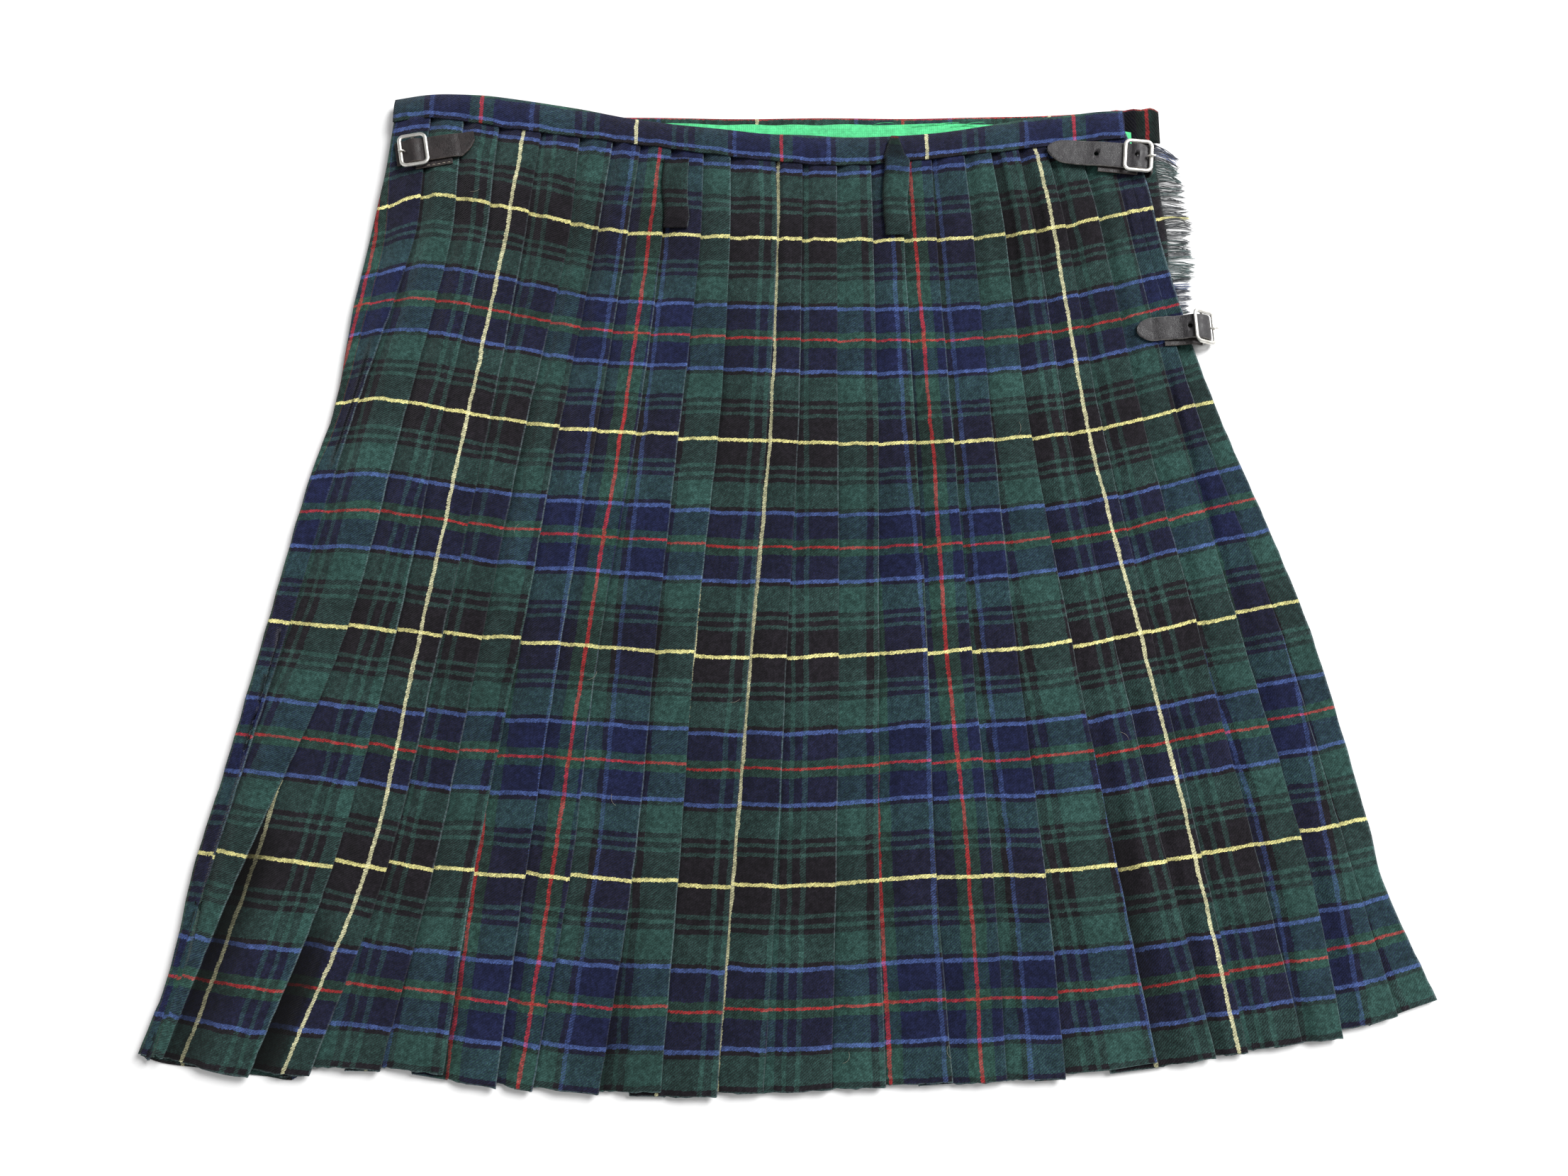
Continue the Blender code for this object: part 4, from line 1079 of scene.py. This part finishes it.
def belt_loop(spec, finish):
    """Loop of cloth laid over the highest cloth near each of its rows."""
    y = np.linspace(spec.top - (2.5 if spec.point else 0.0), spec.foot, 60)[:, None]
    share = np.linspace(-1, 1, 19)[None, :]
    highest = np.max([top_surface(spec.x + side, y + reach)
                      for side in (-LOOP_HALF_WIDTH, 0, LOOP_HALF_WIDTH)
                      for reach in (-5.0, 0.0, 5.0)], axis=0)
    settled = np.maximum(averaged(highest[:, 0], 9)[:, None], highest)
    ends = between(spec.foot, spec.top, 8, y)
    bow = 0.9 * (1 - share ** 4) + 0.35 * (1 - share) * (1 - share ** 6)
    z = settled + GAP + SHELL / 2 + 0.1 + ends * bow
    lean = 0.9 * np.sin(y / 9.0 + spec.x) * ends
    width = LOOP_HALF_WIDTH - 0.25 + 0.35 * wave(y, 6.0) * wave(y, 11.0)
    # Painted light: the loop is darkened as painted shade, most at its left edge, with a painted highlight
    # along its right edge
    rub = -0.25 - 0.35 * bell(share, -1.0, 0.25) + 0.7 * bell(share, 1.0, 0.1)
    if spec.point:
        flap_foot = spec.top - spec.point
        flap = smooth(flap_foot - 3, flap_foot + 3, y)
        narrow = 0.16 + 0.72 * np.clip((spec.top - y) / spec.point, 0.0, 1.0)
        width = width * (1 - flap) + LOOP_HALF_WIDTH * flap * narrow
        lean = lean * (1 - flap) - 0.8 * flap
        # The pointed flap is darkened further as painted shade
        rub = rub * (1 - flap) - 0.66 * flap
    return shell(spec.name + "_cloth", spec.x + share * width + lean, y, z, finish,
                 cloth_s=spec.sett + share * LOOP_HALF_WIDTH, cloth_t=down_at(spec.x, y), rub=rub)


def fringe(finish):
    """Loose yarns along the over apron's free edge, which lean together in small groups."""
    dice = random.Random(7)
    paths = []
    downs = []
    radii = []
    span = FRINGE_TOP - FRINGE_FOOT
    left = 0
    for number in range(FRINGE_YARNS):
        y = FRINGE_FOOT + span * (number + dice.uniform(0.05, 0.95)) / FRINGE_YARNS
        if left == 0:
            left = dice.randint(3, 7)
            middle = y + span / FRINGE_YARNS * left / 2
            group_reach = dice.uniform(0.86, 1.04)
            group_droop = dice.uniform(-2.4, 1.6)
            group_bend = dice.uniform(-1.5, 0.9)
        left -= 1
        root = float(curve(OVER_APRON_EDGE, y)) - 1.4
        reach = (float(curve(FRINGE_REACH, y)) + 2.6) * group_reach * dice.uniform(0.82, 1.06)
        droop = float(curve(FRINGE_DROOP, y)) + group_droop + dice.uniform(-1.2, 1.2)
        bend = group_bend + dice.uniform(-0.6, 0.6)
        lift = dice.uniform(0.1, 2.0)
        path = []
        for share in np.linspace(0.0, 1.0, 9):
            curl = bend * math.sin(math.pi * share) + dice.uniform(-0.1, 0.1)
            gather = (middle - y) * 0.28 * share
            height = 0.6 + lift * math.sin(math.pi * share) - 0.25 * share
            path.append((root + reach * share, y + droop * share ** 1.6 + curl + gather, height))
        paths.append(path)
        downs.append(float(down_at(root, y)) + APRON_DOWN_SHIFT)
        radii.append(dice.uniform(0.17, 0.3))
    return tubes("apron_fringe_yarns", paths, radii, 6, finish, cloth_t=downs, cloth_s=downs)


def stray_fibres(finish):
    """A few pale hairs caught on the wool, each bent as it runs through its place."""
    paths = []
    for x, y, heading, length, bend in STRAY_FIBRES:
        share = np.linspace(-0.5, 0.5, 7)
        turned = np.radians(heading + bend * share)
        along_x = x + length * share * np.cos(turned)
        along_y = y + length * share * np.sin(turned)
        height = top_surface(along_x, along_y) + 0.25 + 0.25 * np.cos(math.pi * share)
        paths.append(np.stack([along_x, along_y, height], axis=1))
    return tubes("stray_fibres", paths, 0.07, 5, finish)


def lining_threads(finish):
    """Frayed threads at the right end of the lining's top edge."""
    share = np.linspace(0.0, 1.0, 6)
    height = LINING_BASE + CLOTH + 0.3 + 0.5 * np.sin(math.pi * share)
    paths = [np.stack([x + run * share, y + rise * share + 0.6 * np.sin(3 * share), height], axis=1)
             for x, y, run, rise in LINING_THREADS]
    return tubes("lining_threads", paths, 0.16, 5, finish)


# Leather and metal

def set_in_place(points, spec):
    """Points of a strap's own frame, which runs along its X, in the layout frame."""
    turn = np.array(Matrix.Rotation(math.radians(spec.heading), 3, "Z"))
    return points @ turn.T + np.array((spec.x, spec.y, 0.0))


def leather_band(name, spec, stations, thickness, finish, holes=()):
    """Strap with rounded edges through stations (along, height, half width, shift)."""
    rows = rounded(stations, 3)
    travel = unit(np.gradient(rows[:, :2], axis=0))
    sides = 28
    angles = circle(sides) + math.pi / sides
    across = np.sign(np.cos(angles)) * np.abs(np.cos(angles)) ** 0.3
    high = np.sign(np.sin(angles)) * np.abs(np.sin(angles)) ** 0.45 * thickness / 2
    points = np.stack([rows[:, :1] - travel[:, 1:] * high, rows[:, 3:] + rows[:, 2:3] * across,
                       rows[:, 1:2] + travel[:, :1] * high], axis=-1)
    wear = np.broadcast_to(smooth(0.93, 1.0, np.abs(across)), (len(rows), sides))
    placed = set_in_place(points.reshape(-1, 3), spec)
    faces = [face[::-1] for face in ring_faces(len(rows), sides, False)]
    made = piece_from(name, placed, faces, finish, wear=wear)
    if holes:
        punch_holes(made, spec, holes)
    return made


def punch_holes(strap, spec, holes):
    """Cut round holes down through a strap."""
    sides = 20
    radius = 1.55
    rings = []
    faces = []
    for number, (along, across) in enumerate(holes):
        for z in (5.5, 20.0):
            rings.append(np.stack([along + radius * np.cos(circle(sides)),
                                   across + radius * np.sin(circle(sides)),
                                   np.full(sides, z)], axis=1))
        faces.extend(face[::-1] for face in ring_faces(2, sides, False, number * 2 * sides))
    cutter = piece_from("hole cutter", set_in_place(np.vstack(rings), spec), faces,
                        strap.data.materials[0])
    cut = strap.modifiers.new("holes", "BOOLEAN")
    cut.operation = "DIFFERENCE"
    cut.solver = "EXACT"
    cut.object = cutter
    bpy.context.view_layer.update()
    graph = bpy.context.evaluated_depsgraph_get()
    punched = bpy.data.meshes.new_from_object(strap.evaluated_get(graph))
    strap.modifiers.clear()
    strap.data = punched
    bpy.data.objects.remove(cutter, do_unlink=True)


def rounded_rectangle(length, width, corner, steps):
    """Outline of a rectangle with round corners, as (X, Y) points."""
    outline = []
    for quarter, (sign_x, sign_y) in enumerate(((1, 1), (-1, 1), (-1, -1), (1, -1))):
        x = sign_x * (length / 2 - corner)
        y = sign_y * (width / 2 - corner)
        angles = [90 * (quarter + step / steps) for step in range(steps + 1)]
        outline.extend(point[1:] for point in arc(x, y, corner, angles))
    return outline


def at_bar(points, spec):
    """Points of a buckle's own frame, which lies at its bar, in the layout frame."""
    turn = Euler((0.0, math.radians(spec.tilt), math.radians(spec.heading))).to_matrix()
    return points.reshape(-1, 3) @ np.array(turn).T + (spec.x, spec.y, spec.bar_height)


def buckle_frame(spec, finish):
    """Rounded frame of flattened wire."""
    outline = rounded_rectangle(FRAME_LENGTH - FRAME_WIRE, FRAME_WIDTH - FRAME_WIRE,
                                FRAME_CORNER, 10)
    path = np.array([(x, y, FRAME_LIFT) for x, y in outline])
    travel = unit(np.roll(path, -1, axis=0) - np.roll(path, 1, axis=0))
    sideways = np.cross(travel, (0.0, 0.0, 1.0))
    sides = 14
    angles = circle(sides)[:, None]
    points = (path[:, None] + sideways[:, None] * (FRAME_WIRE / 2 * np.cos(angles))
              + np.array((0.0, 0.0, FRAME_WIRE_HEIGHT / 2)) * np.sin(angles))
    return piece_from("frame_" + spec.name, at_bar(points, spec),
                      ring_faces(len(path), sides, True), finish)


def buckle_prong(spec, finish):
    """Prong with a rounded tip, which rises from the strap over the frame."""
    path = rounded([(min(x, spec.prong_reach), 0.0, z) for x, z in PRONG_PATH], 3)
    radius = np.full(len(path), PRONG_RADIUS)
    radius[-4:] *= (0.97, 0.9, 0.75, 0.4)
    sides = 12
    return piece_from("prong_" + spec.name, at_bar(tube_rings(path, radius, sides), spec),
                      ring_faces(len(path), sides, False), finish)


def stitches(name, spec, seam, finish):
    """Short stitches along a seam in a strap's own frame."""
    first = np.array(seam.first)
    run = np.array(seam.last) - first
    count = int(np.linalg.norm(run) / seam.step)
    paths = []
    for number in range(count):
        near = first + run * (number + 0.15) / count
        far = first + run * (number + 0.75) / count
        path = np.array([(*near, seam.height - 0.25), (*(near + far) / 2, seam.height + 0.12),
                         (*far, seam.height - 0.25)])
        paths.append(rounded(set_in_place(path, spec), 1))
    return tubes(name, paths, 0.22, 6, finish)


# Floor, light and camera

def floor_and_light():
    """White floor, a key and a fill light, and a plain pale world."""
    reach = 6.0
    mesh = bpy.data.meshes.new("floor")
    mesh.from_pydata([(x, y, -0.0001) for x, y in ((-reach, -reach), (reach, -reach),
                                                   (reach, reach), (-reach, reach))],
                     [], [(0, 1, 2, 3)])
    mesh.materials.append(floor_finish())
    add_object("floor", mesh)

    world = bpy.data.worlds.new("studio")
    world.use_nodes = True
    background = world.node_tree.nodes["Background"]
    background.inputs["Color"].default_value = (1.0, 1.0, 1.0, 1.0)
    background.inputs["Strength"].default_value = WORLD_STRENGTH
    bpy.context.scene.world = world

    for name, place, size, power in LIGHTS:
        light = bpy.data.lights.new(name, "AREA")
        light.size = size
        light.energy = power
        lamp = add_object(name, light)
        lamp.location = place
        lamp.rotation_euler = Vector(place).to_track_quat("Z", "Y").to_euler()


def camera():
    """The photo's camera, above the layout's origin and tilted towards the waist."""
    data = bpy.data.cameras.new("camera")
    data.sensor_fit = "HORIZONTAL"
    data.sensor_width = CAMERA_SENSOR
    data.lens = CAMERA_LENS
    data.clip_start = 0.02
    made = add_object("camera", data)
    made.location = (SHIFT + (0.0, 0.0, CAMERA_HEIGHT)) * MM
    made.rotation_euler = (math.radians(CAMERA_TILT), 0.0, 0.0)
    bpy.context.scene.camera = made
    bpy.context.scene.view_settings.view_transform = "Standard"


# Dressing

def stand_for(piece, slot, *nodes):
    """Let a piece ride on the kilt in place of CAD nodes."""
    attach(piece, "root")
    if nodes:
        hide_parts(*nodes)
    return piece


def dress():
    """Make every piece, in place of the solid that it stands for."""
    tartan = tartan_finish()
    yarn = fringe_finish()
    green = lining_finish()
    strap_leather = leather_finish("black strap leather", (27, 25, 28), (61, 58, 61),
                                   (138, 134, 130))
    dark_leather_and_tab_shade = leather_finish("dark strap leather and tab shade", (26, 21, 22), (50, 42, 42),
                                   (92, 82, 76))
    nickel = nickel_finish()
    pale_thread = thread_finish("pale thread", (176, 168, 150))

    over = stand_for(over_apron(tartan), "tartan", "over_apron")
    yarns = stand_for(fringe(yarn), "tartan", "apron_fringe")
    under = stand_for(under_apron(tartan), "tartan", "under_apron")
    band_front = stand_for(waistband_front(tartan), "tartan", "waistband_front")
    inner = stand_for(lining(green), "lining", "lining")
    back = stand_for(back_cloth(tartan), "tartan", "back_panel")
    band_back = stand_for(waistband_back(tartan), "tartan", "waistband_back")
    for spec in LOOPS:
        loop = stand_for(belt_loop(spec, tartan), "tartan", spec.name)

    for spec in BUCKLES:
        leather = dark_leather_and_tab_shade if spec.name == "waist_left" else strap_leather
        strap = leather_band("strap_leather_" + spec.name, spec, spec.strap, LEATHER, leather,
                             spec.holes)
        stand_for(strap, "leather", "strap_" + spec.name)
        tab_rows = [(along, height, TAB_HALF_WIDTH, spec.tab_shift) for along, height in spec.tab]
        # The tabs, which lie under the straps, take the darker leather as painted shade; the left waist
        # strap has it as its own colour
        tab = leather_band("tab_leather_" + spec.name, spec, tab_rows, TAB_LEATHER, dark_leather_and_tab_shade)
        stand_for(tab, "leather", "buckle_tab_" + spec.name)
        stand_for(buckle_frame(spec, nickel), "nickel", "buckle_frame_" + spec.name)
        stand_for(buckle_prong(spec, nickel), "nickel", "buckle_prong_" + spec.name)
        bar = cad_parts["buckle_bar_" + spec.name]
        bar.data.materials.clear()
        bar.data.materials.append(nickel)
    stand_for(stray_fibres(pale_thread), "tartan")
    stand_for(lining_threads(green), "lining")
    stand_for(stitches("stitches_waist_left", BUCKLES[2], LEFT_TAB_SEAM, pale_thread), "leather")


dress()
floor_and_light()
camera()
